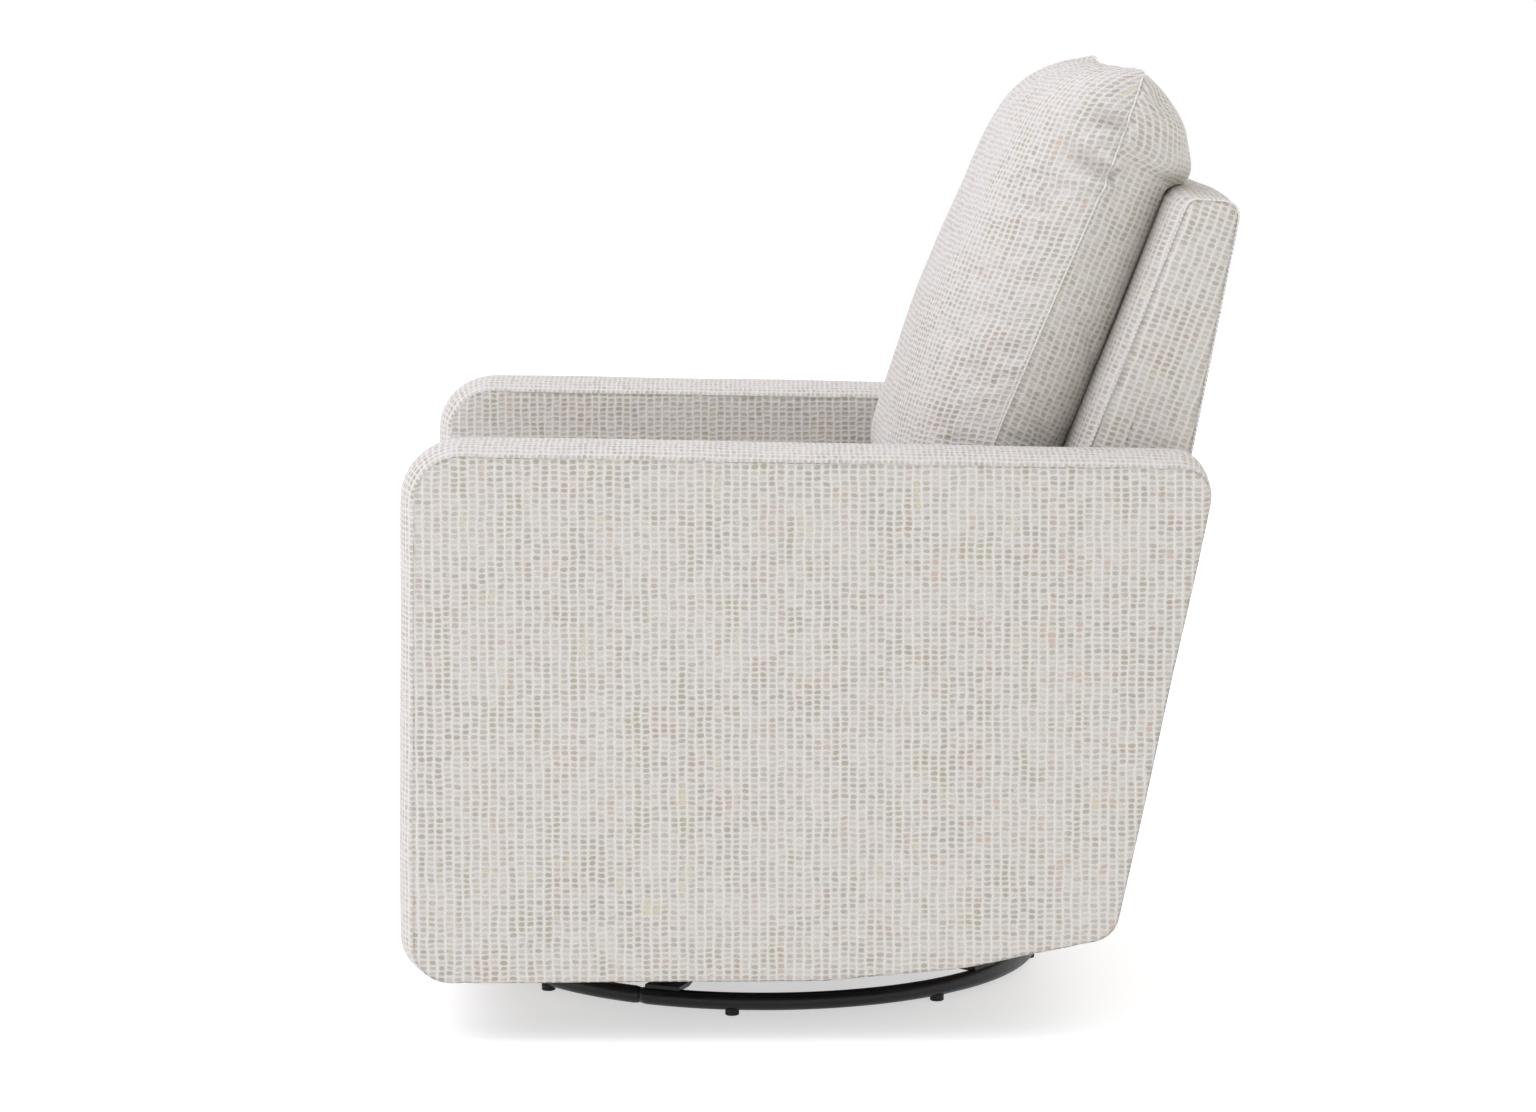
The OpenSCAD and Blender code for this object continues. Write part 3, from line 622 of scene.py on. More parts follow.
def simulate(obj: bpy.types.Object, pressure: float, cap: float, shrink: float = 0.0,
             pinned: Sequence[int] = (), frames: int = 20) -> None:
    """Swell a closed piece as cloth, and keep the result in its mesh.

    Args:
        obj: The closed piece.
        pressure: Pressure inside it.
        cap: Furthest that a point may move.
        shrink: Share that the cloth shrinks, or grows where it is negative.
        pinned: Vertices held still.
        frames: Steps of the simulation.
    """
    start = coordinates(obj)
    cloth = obj.modifiers.new("swell", "CLOTH")
    settings = cloth.settings
    stiffness = {"tension_stiffness": 12, "compression_stiffness": 12, "shear_stiffness": 4, "bending_stiffness": 1.2}
    manner = {"quality": 5, "mass": 0.3, "air_damping": 4, "use_pressure": True,
              "uniform_pressure_force": pressure, "shrink_min": shrink}
    for key, value in {**stiffness, **manner}.items():
        setattr(settings, key, value)
    settings.effector_weights.gravity = 0
    cloth.collision_settings.use_collision = False
    if len(pinned):
        group = obj.vertex_groups.new(name="held")
        group.add(list(map(int, pinned)), 1.0, "REPLACE")
        settings.vertex_group_mass = "held"
    scene = bpy.context.scene
    cloth.point_cache.frame_start = 1
    cloth.point_cache.frame_end = frames
    for step in range(1, frames + 1):
        scene.frame_set(step)
    shaped = bpy.data.meshes.new_from_object(obj.evaluated_get(bpy.context.evaluated_depsgraph_get()))
    swollen = mesh_points(shaped)
    bpy.data.meshes.remove(shaped)
    obj.modifiers.remove(cloth)
    scene.frame_set(1)
    moved = swollen - start
    far = np.linalg.norm(moved, axis=1, keepdims=True)
    set_coordinates(obj, start + moved * np.minimum(1.0, cap / np.maximum(far, 1e-9)))


# ---------------------------------------------------------------- outlines


@dataclass
class Corner:
    """A corner of an outline, with the radius that rounds it."""

    a: float
    b: float
    radius: float = 0.0


def rounded_corner(before: Corner, at: Corner, after: Corner, steps: int = 12) -> list[np.ndarray]:
    """Points that round one corner.

    Args:
        before: The corner before it.
        at: The corner.
        after: The corner after it.
        steps: Parts of the arc.

    Returns:
        The points of the arc, or the corner itself where it is sharp.
    """
    p, q, r = (np.array([c.a, c.b]) for c in (before, at, after))
    if at.radius <= 0:
        return [q]
    u, v = (p - q) / np.linalg.norm(p - q), (r - q) / np.linalg.norm(r - q)
    half = math.acos(float(np.clip(u @ v, -1, 1))) / 2
    middle = q + (u + v) / np.linalg.norm(u + v) * at.radius / math.sin(half)
    start, end = (q + w * at.radius / math.tan(half) - middle for w in (u, v))
    first = math.atan2(start[1], start[0])
    turn = (math.atan2(end[1], end[0]) - first + math.pi) % (2 * math.pi) - math.pi
    angles = [first + turn * i / steps for i in range(steps + 1)]
    return [middle + at.radius * np.array([math.cos(angle), math.sin(angle)]) for angle in angles]


@dataclass
class Outline:
    """A closed outline in a plane, sampled evenly along its length."""

    corners: Sequence[Corner]
    step: float = 0.008
    points: np.ndarray = field(init=False)
    normals: np.ndarray = field(init=False)
    lengths: np.ndarray = field(init=False)

    def __post_init__(self) -> None:
        """Round the corners, then sample the outline."""
        dense: list[np.ndarray] = []
        count = len(self.corners)
        for i, corner in enumerate(self.corners):
            before, after = self.corners[i - 1], self.corners[(i + 1) % count]
            dense.extend(rounded_corner(before, corner, after))
        loop = np.array(dense + [dense[0]])
        seg = np.linalg.norm(np.diff(loop, axis=0), axis=1)
        along = np.concatenate([[0], np.cumsum(seg)])
        number = max(12, int(round(along[-1] / self.step)))
        at = np.linspace(0, along[-1], number, endpoint=False)
        self.points = np.stack([np.interp(at, along, loop[:, k]) for k in (0, 1)], axis=1)
        self.lengths = np.append(at, along[-1])
        run = np.roll(self.points, -1, axis=0) - np.roll(self.points, 1, axis=0)
        run /= np.linalg.norm(run, axis=1, keepdims=True)
        ahead = np.roll(self.points, -1, axis=0)
        area = np.sum(self.points[:, 0] * ahead[:, 1] - self.points[:, 1] * ahead[:, 0])
        self.normals = np.stack([run[:, 1], -run[:, 0]], axis=1) * (1 if area > 0 else -1)


class Axis(Enum):
    """The axis that a boxed pad is as wide as. Its outline lies in the other two."""

    X = 0
    Y = 1
    Z = 2


@dataclass
class BoxedPad:
    """A padded piece with two flat panels and a band between them, joined at seams.

    The rings of a panel follow its seam as far as edge_zone, and further in they close on its spine.
    """

    name: str
    outline: Outline
    axis: Axis
    low: float
    high: float
    crown: Callable[[np.ndarray], np.ndarray]
    spine: Spine
    puff: float = 0.002
    seam_dip: float = 0.0016
    dip_at: float = 0.001
    dip_width: float = 0.0035
    edge_dip: float = 0.4
    puff_power: float = 2.5
    near_seam: float = 0.0022
    edge_zone: float = 0.03
    merge: float = 0.0009
    band_columns: int = 18
    ring_depths: Sequence[float] = (0.0, 0.0022, 0.0048, 0.009, 0.015)
    ring_step: float = 0.011
    crown_power: float = 2.4
    wrap_power: float = 0.0
    lean: float = 0.0

    def to_space(self, flat: np.ndarray, depth: np.ndarray | float) -> np.ndarray:
        """Place outline coordinates and a depth along the axis in the row frame."""
        columns = [flat[:, 0], flat[:, 1]]
        columns.insert(self.axis.value, np.broadcast_to(depth, (len(flat),)))
        return np.stack(columns, axis=1)

    def _dip(self, depth: np.ndarray | float) -> np.ndarray | float:
        """How far the cloth is drawn in at a distance from its seam."""
        return self.seam_dip * np.exp(-((depth - self.dip_at) / self.dip_width) ** 2)

    def seam(self, high: bool) -> np.ndarray:
        """The seam line of one panel, closed, in the row frame."""
        points = self.to_space(self.outline.points, self.high if high else self.low)
        return np.vstack([points, points[:1]])

    def _inward(self) -> list[tuple[np.ndarray, np.ndarray, np.ndarray]]:
        """Rings of a panel from its seam to its spine: places, depths, and shares of the way."""
        edge = self.outline.points
        a, b = (np.array(p) for p in self.spine)
        along = b - a
        share = np.clip(((edge - a) @ along) / (along @ along), 0, 1)
        target = a + share[:, None] * along
        reach = np.linalg.norm(target - edge, axis=1)
        depths = list(self.ring_depths)
        depths.extend(np.arange(depths[-1] + self.ring_step, reach.max(), self.ring_step))
        depths.append(float(reach.max()))
        first = np.minimum(self.edge_zone / reach, 1.0)
        rings = []
        for depth in depths:
            part = depth / reach
            if depth >= self.edge_zone:
                part = first + (1 - first) * (depth - self.edge_zone) / (reach.max() - self.edge_zone)
            part = np.minimum(part, 1.0)
            rings.append((edge + part[:, None] * (target - edge), np.minimum(depth, reach * part), part))
        return rings

    def _turned(self, at: np.ndarray) -> tuple[float, float]:
        """Cloth coordinates of a panel point, turned by the lean of the weave."""
        c, s = math.cos(self.lean), math.sin(self.lean)
        return float(c * at[0] - s * at[1]), float(s * at[0] + c * at[1])

    def build(self, material: bpy.types.Material) -> bpy.types.Object:
        """Make the closed mesh, with cloth coordinates on each panel and on the band.

        Args:
            material: The cloth.

        Returns:
            The piece.
        """
        points: list[np.ndarray] = []
        faces: list[tuple[int, ...]] = []
        uvs: list[tuple[float, float]] = []
        n = len(self.outline.points)
        rings = self._inward()
        for high in (True, False):
            face_at, side = (self.high, 1.0) if high else (self.low, -1.0)
            base = sum(len(p) for p in points)
            for flat, depth, part in rings:
                rise = self.puff * (1 - (1 - part) ** self.puff_power) - self._dip(depth)
                rise = np.where(depth < 1e-6, -self.edge_dip * self.seam_dip, rise)
                points.append(self.to_space(flat, face_at + side * rise))
            for quad in quads(len(rings) - 1, n):
                faces.append(tuple(base + r * n + c % n for r, c in quad))
                uvs.extend(self._turned(rings[r][0][c % n]) for r, c in quad)
        base = sum(len(p) for p in points)
        width = self.high - self.low
        crowns = self.crown(self.outline.normals)
        even = np.linspace(0, 1, self.band_columns + 1)
        shares = 0.6 * (0.5 - 0.5 * np.cos(np.pi * even)) + 0.4 * even
        near = self.near_seam / width
        shares = np.concatenate([[0, near], shares[1:-1], [1 - near, 1]])
        facing = np.clip(-self.outline.normals[:, 0], 0, 1)
        powers = self.crown_power + ((self.wrap_power or self.crown_power) - self.crown_power) * facing
        for share in shares:
            lift = crowns * (1 - abs(2 * share - 1) ** powers)
            edge = min(share, 1 - share) * width
            lift = lift - self._dip(edge) * (self.edge_dip if edge == 0 else 1.0)
            flat = self.outline.points + lift[:, None] * self.outline.normals
            points.append(self.to_space(flat, self.low + share * width))
        for quad in quads(len(shares) - 1, n):
            faces.append(tuple(base + r * n + c % n for r, c in quad))
            uvs.extend((float(shares[r] * width), float(self.outline.lengths[c])) for r, c in quad)
        made = make_piece(self.name, np.vstack(points), faces, uvs, material)
        tidy_mesh(made, self.merge)
        return made


# ---------------------------------------------------------------- geometry nodes


class NodeMaker:
    """Builds a geometry node tree with named size inputs."""

    def __init__(self, name: str, sizes: dict[str, float]) -> None:
        """Start a tree.

        Args:
            name: Name of the tree.
            sizes: Its number inputs and their values.
        """
        self.tree = bpy.data.node_groups.new(name, "GeometryNodeTree")
        for way in ("INPUT", "OUTPUT"):
            self.tree.interface.new_socket("Geometry", in_out=way, socket_type="NodeSocketGeometry")
        self.values = dict(sizes)
        for size in sizes:
            self.tree.interface.new_socket(size, in_out="INPUT", socket_type="NodeSocketFloat")
        self.start = self.tree.nodes.new("NodeGroupInput")
        self.end = self.tree.nodes.new("NodeGroupOutput")

    def add(self, kind: str, inputs: dict[str, object] | None = None, **settings: object) -> bpy.types.Node:
        """Add a node, set its properties, and set or link its inputs by name."""
        made = self.tree.nodes.new(kind)
        for key, value in settings.items():
            setattr(made, key, value)
        for key, value in (inputs or {}).items():
            socket = made.inputs[key]
            if isinstance(value, bpy.types.NodeSocket):
                self.tree.links.new(value, socket)
            else:
                socket.default_value = value
        return made

    def finish(self, geometry: bpy.types.NodeSocket, material: bpy.types.Material) -> None:
        """End the tree in Realize Instances and Set Material."""
        real = self.add("GeometryNodeRealizeInstances", {"Geometry": geometry})
        dressed = self.add("GeometryNodeSetMaterial", {"Geometry": real.outputs[0], "Material": material})
        self.tree.links.new(dressed.outputs[0], self.end.inputs[0])

    def apply(self, name: str, carrier: bpy.types.Object) -> bpy.types.Object:
        """Run the tree on a carrier object and keep the result as a plain mesh piece.

        Args:
            name: Name of the piece.
            carrier: The curve or mesh that the tree reads. It is removed.

        Returns:
            The piece.
        """
        modifier = carrier.modifiers.new(self.tree.name, "NODES")
        modifier.node_group = self.tree
        for item in self.tree.interface.items_tree:
            if item.item_type == "SOCKET" and item.in_out == "INPUT" and item.name in self.values:
                modifier[item.identifier] = float(self.values[item.name])
        mesh = bpy.data.meshes.new_from_object(carrier.evaluated_get(bpy.context.evaluated_depsgraph_get()))
        carrier.modifiers.remove(modifier)
        bpy.data.objects.remove(carrier)
        mesh.name = name
        mesh.polygons.foreach_set("use_smooth", [True] * len(mesh.polygons))
        return placed(name, mesh)


def curve_carrier(name: str, paths: Sequence[np.ndarray], closed: bool = False) -> bpy.types.Object:
    """A curve object with one poly spline for each path.

    Args:
        name: Name of the object.
        paths: Points of each spline.
        closed: Whether each spline is a loop.

    Returns:
        The object.
    """
    data = bpy.data.curves.new(name, "CURVE")
    data.dimensions = "3D"
    for path in paths:
        spline = data.splines.new("POLY")
        spline.points.add(len(path) - 1)
        spline.points.foreach_set("co", np.column_stack([path, np.ones(len(path))]).astype(np.float32).ravel())
        spline.use_cyclic_u = closed
    return placed(name, data)


@dataclass(frozen=True)
class SeamLine:
    """A row of short round beads along a line: stitches, teeth or staples."""

    pitch: float = 0.0046
    length: float = 0.0058
    radius: float = 0.0010

    def run(self, name: str, paths: Sequence[np.ndarray], material: bpy.types.Material,
            closed: bool = False) -> bpy.types.Object:
        """Lay the beads along the paths.

        Args:
            name: Name of the piece.
            paths: Lines of the row.
            material: Material of the beads.
            closed: Whether each path is a loop.

        Returns:
            The piece.
        """
        maker = NodeMaker(name + "_tree", {"Pitch": self.pitch, "Length": self.length, "Radius": self.radius})
        sizes = maker.start.outputs
        spaced = maker.add("GeometryNodeResampleCurve", {"Curve": sizes["Geometry"], "Length": sizes["Pitch"]},
                           mode="LENGTH")
        bead = maker.add("GeometryNodeMeshCylinder", {
            "Vertices": 5, "Radius": sizes["Radius"], "Depth": sizes["Length"]})
        tangent = maker.add("GeometryNodeInputTangent")
        turned = maker.add("FunctionNodeAlignRotationToVector", {"Vector": tangent.outputs[0]}, axis="Z")
        rows = maker.add("GeometryNodeInstanceOnPoints", {
            "Points": spaced.outputs[0], "Instance": bead.outputs["Mesh"], "Rotation": turned.outputs[0]})
        maker.finish(rows.outputs[0], material)
        return maker.apply(name, curve_carrier(name + "_line", paths, closed))


# ---------------------------------------------------------------- shared measures


@dataclass(frozen=True)
class Measures:
    """Planes and sizes of the chair, read from the frame."""

    arm_low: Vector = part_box("arm_cover_left")[0]
    arm_high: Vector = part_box("arm_cover_left")[1]
    inner_x: float = arm_low.x
    half_w: float = arm_high.x
    back_low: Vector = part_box("back_cover")[0]
    back_high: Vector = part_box("back_cover")[1]
    pillow_low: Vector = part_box("back_pillow")[0]
    seat_low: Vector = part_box("seat_cushion")[0]
    seat_high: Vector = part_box("seat_cushion")[1]
    rear_lean: float = math.radians(10.6)
    inside_lean: float = math.radians(21.2)
    back_top: float = 0.069
    rear_puff: float = 0.00425
    tail_rise: float = 0.042

    @property
    def rear_top_y(self) -> float:
        """Outside back plane at the height of the back frame."""
        return self.back_high.y + self.rear_puff

    def rear_y(self, z: float) -> float:
        """Outside back plane at a height."""
        return self.rear_top_y - (self.back_high.z - z) * math.tan(self.rear_lean)

    def inside_y(self, z: float) -> float:
        """Inside back plane at a height."""
        return self.rear_top_y - self.back_top - (self.back_high.z - z) * math.tan(self.inside_lean)


SIZES = Measures()


# ---------------------------------------------------------------- arms and frame panels


@dataclass
class Arm:
    """One upholstered arm: two side panels, a crowned band and a dust cloth below."""

    side: int
    palette: Palette
    front_crown: float = 0.016
    top_crown: float = 0.011
    rear_crown: float = 0.004
    front_lean: float = math.radians(0.7)

    @property
    def tag(self) -> str:
        """Left or right, from the sitter's seat."""
        return "left" if self.side > 0 else "right"

    def lift(self, normals: np.ndarray) -> np.ndarray:
        """Rise of the band at its middle, for each direction of the outline."""
        front, rear = np.clip(-normals[:, 0], 0, 1), np.clip(normals[:, 0], 0, 1)
        top = np.clip(normals[:, 1], 0, 1)
        return self.front_crown * front**2 + self.rear_crown * rear**2 + self.top_crown * top**2

    def seam_outline(self) -> Outline:
        """The seam between side panel and band, in Y and Z."""
        low, high = SIZES.arm_low, SIZES.arm_high
        tail = low.z + SIZES.tail_rise
        top_front, top_rear = high.z - self.top_crown, high.z - 0.015 - self.top_crown

        def front(z: float) -> float:
            """Front edge at a height."""
            return low.y + (z - low.z) * math.tan(self.front_lean) + self.front_crown

        foot, head = 0.006 - self.rear_crown, 0.0145 - self.rear_crown
        return Outline([
            Corner(front(low.z), low.z, 0.036),
            Corner(0.0, low.z, 0.2),
            Corner(0.135, low.z + 0.0126, 0.2),
            Corner(SIZES.rear_y(tail) + foot, tail, 0.029),
            Corner(SIZES.rear_y(top_rear) + head, top_rear, 0.028),
            Corner(front(top_front), top_front, 0.047),
        ])

    def build(self) -> None:
        """Build the arm's pad and its dust cloth, and attach them."""
        inner, outer = SIZES.inner_x, SIZES.half_w
        low, high = (inner, outer) if self.side > 0 else (-outer, -inner)
        pad = BoxedPad(f"arm_pad_{self.tag}", self.seam_outline(), Axis.X, low + 0.0005, high - 0.0005, self.lift,
                       spine=((-0.20, 0.32), (0.13, 0.33)), puff=0.0035)
        made = pad.build(self.palette.cloth)
        soften(made, 0.0009, 0.19, 3.0 + self.side)
        attach(made, CHAIR, f"arm_cover_{self.tag}")
        DustCloth(self.side, self.tag, self.palette).build(made)


def soften(obj: bpy.types.Object, depth: float, size: float, seed: float) -> None:
    """Give a pad the slight unevenness of hand-laid filling.

    Args:
        obj: The pad.
        depth: How deep the unevenness is.
        size: Length of its waves.
        seed: Shift of its pattern.
    """
    points = coordinates(obj)
    set_coordinates(obj, points + vertex_normals(obj) * (wavy(points, size, seed) * depth)[:, None])


@dataclass
class BodyPanels:
    """The padded cloth of the chair's body: front, rear, deck and back frame."""

    palette: Palette
    half_w: float = 0.2688
    front_wrap: float = 0.017

    def slab(self, node: str, corners: Sequence[Corner], spine: Spine, crown: float, name: str) -> None:
        """A pad as wide as the body, from its side outline.

        Args:
            node: The plain node that it stands for.
            corners: Corners of its side outline, in Y and Z.
            spine: Line in its middle.
            crown: Rise of its faces between the seams.
            name: Name of the piece.
        """
        pad = BoxedPad(name, Outline(corners, 0.007), Axis.X, -self.half_w, self.half_w,
                       lambda n: np.full(len(n), crown), spine, puff=0.001, seam_dip=0.0012,
                       band_columns=76, crown_power=10.0)
        attach(pad.build(self.palette.cloth), CHAIR, node)

    def front(self) -> None:
        """The front panel below the seat cushion."""
        low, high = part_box("front_panel")
        self.slab("front_panel", [
            Corner(low.y + 0.001, low.z, 0.006), Corner(high.y, low.z, 0.0), Corner(high.y, high.z, 0.0),
            Corner(low.y + 0.001, high.z, 0.011),
        ], ((low.y + 0.009, low.z + 0.012), (low.y + 0.009, high.z - 0.012)), 0.0015, "front_pad")

    def rear(self) -> None:
        """The outside back below the back frame."""
        low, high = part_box("rear_panel")
        foot, head = SIZES.rear_y(low.z), SIZES.rear_y(high.z)
        depth, skin = 0.0098, 0.0005
        self.slab("rear_panel", [
            Corner(foot - depth, low.z), Corner(foot - skin, low.z, 0.004),
            Corner(head - skin, high.z), Corner(head - depth, high.z),
        ], ((foot - 0.005, low.z + 0.008), (head - 0.005, high.z - 0.008)), 0.0008, "rear_pad")

    def deck(self) -> None:
        """The deck under the seat cushion."""
        low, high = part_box("deck_pad")
        middle, top = (low.z + high.z) / 2, high.z - 0.0005
        self.slab("deck_pad", [
            Corner(low.y, low.z), Corner(high.y, low.z), Corner(high.y, top, 0.004), Corner(low.y, top, 0.004),
        ], ((low.y + 0.02, middle), (high.y - 0.02, middle)), 0.0003, "deck_cloth")

    def back(self) -> None:
        """The padded back frame, with seams along its sides."""
        low, high = SIZES.back_low, SIZES.back_high
        front, rear = high.z - 0.0085, high.z - 0.012
        wrap = self.front_wrap
        outline = Outline([
            Corner(SIZES.inside_y(low.z) + wrap, low.z),
            Corner(SIZES.rear_y(low.z) - 0.001, low.z),
            Corner(SIZES.rear_y(rear), rear, 0.015),
            Corner(SIZES.inside_y(front) + wrap, front, 0.010),
        ], 0.007)
        spine = ((0.245, low.z + 0.06), (0.372, high.z - 0.05))

        def lift(normals: np.ndarray) -> np.ndarray:
            """Rise of the cover between its side seams."""
            rear, top = np.clip(normals[:, 0], 0, 1), np.clip(normals[:, 1], 0, 1)
            front = np.clip(-normals[:, 0], 0, 1)
            return 0.0035 * rear**2 + 0.0085 * top**2 + (wrap - 0.0002) * front**2

        pad = BoxedPad("back_frame_pad", outline, Axis.X, -self.half_w, self.half_w, lift, spine, puff=0.004,
                       seam_dip=0.0018, band_columns=76, crown_power=3.0, wrap_power=18.0, lean=math.radians(20.0))
        made = pad.build(self.palette.cloth)
        soften(made, 0.0008, 0.16, 9.0)
        attach(made, CHAIR, "back_cover")
        paths = [trim_seam(pad.seam(left), low.z + 0.003, 0.0003 if left else -0.0003) for left in (True, False)]
        attach(SeamLine().run("back_frame_seams", paths, self.palette.seam), CHAIR)

    def build(self) -> None:
        """Build all the panels."""
        for make in (self.front, self.rear, self.deck, self.back):
            make()


def trim_seam(path: np.ndarray, lowest: float, shift: float) -> np.ndarray:
    """The part of a closed seam above a height, starting where it rises past that height.

    Args:
        path: Points of the seam, the last one equal to the first.
        lowest: Height that it is cut at.
        shift: How far it moves along X.

    Returns:
        The open seam.
    """
    loop = path[:-1]
    low = loop[:, 2] < lowest
    first = int(np.flatnonzero(low & ~np.roll(low, -1))[0]) + 1
    turned = np.roll(loop, -first, axis=0)
    kept = turned[: int(np.flatnonzero(turned[:, 2] < lowest)[0])] if (turned[:, 2] < lowest).any() else turned
    return kept + np.array([shift, 0.0, 0.0])


# ---------------------------------------------------------------- cushions


@dataclass
class Path:
    """An open path in Y and Z with rounded corners, read by its share of the length."""

    corners: Sequence[Corner]
    points: np.ndarray = field(init=False)
    lengths: np.ndarray = field(init=False)

    def __post_init__(self) -> None:
        """Round the corners and measure the path."""
        dense = [np.array([self.corners[0].a, self.corners[0].b])]
        for before, at, after in zip(self.corners, self.corners[1:], self.corners[2:]):
            dense.extend(rounded_corner(before, at, after))
        dense.append(np.array([self.corners[-1].a, self.corners[-1].b]))
        self.points = np.array(dense)
        self.lengths = np.concatenate([[0], np.cumsum(np.linalg.norm(np.diff(self.points, axis=0), axis=1))])

    @property
    def length(self) -> float:
        """Length of the path."""
        return float(self.lengths[-1])

    def at(self, shares: np.ndarray) -> np.ndarray:
        """Points at shares of the length."""
        return np.stack([np.interp(shares * self.length, self.lengths, self.points[:, k]) for k in (0, 1)], axis=1)


def blurred(values: np.ndarray, reach: int) -> np.ndarray:
    """Values smoothed along a row, with both ends kept."""
    out = values.copy()
    for _ in range(3):
        padded = np.concatenate([2 * out[0] - out[reach:0:-1], out, 2 * out[-1] - out[-2:-reach - 2:-1]])
        out = np.convolve(padded, np.ones(2 * reach + 1) / (2 * reach + 1), "valid")
    out[0], out[-1] = values[0], values[-1]
    return out


@dataclass(frozen=True)
class Fold:
    """A short fold in a cushion's side, from its seam forwards, in Y and Z."""

    start: tuple[float, float]
    end: tuple[float, float]
    depth: float
    width: float = 0.0055


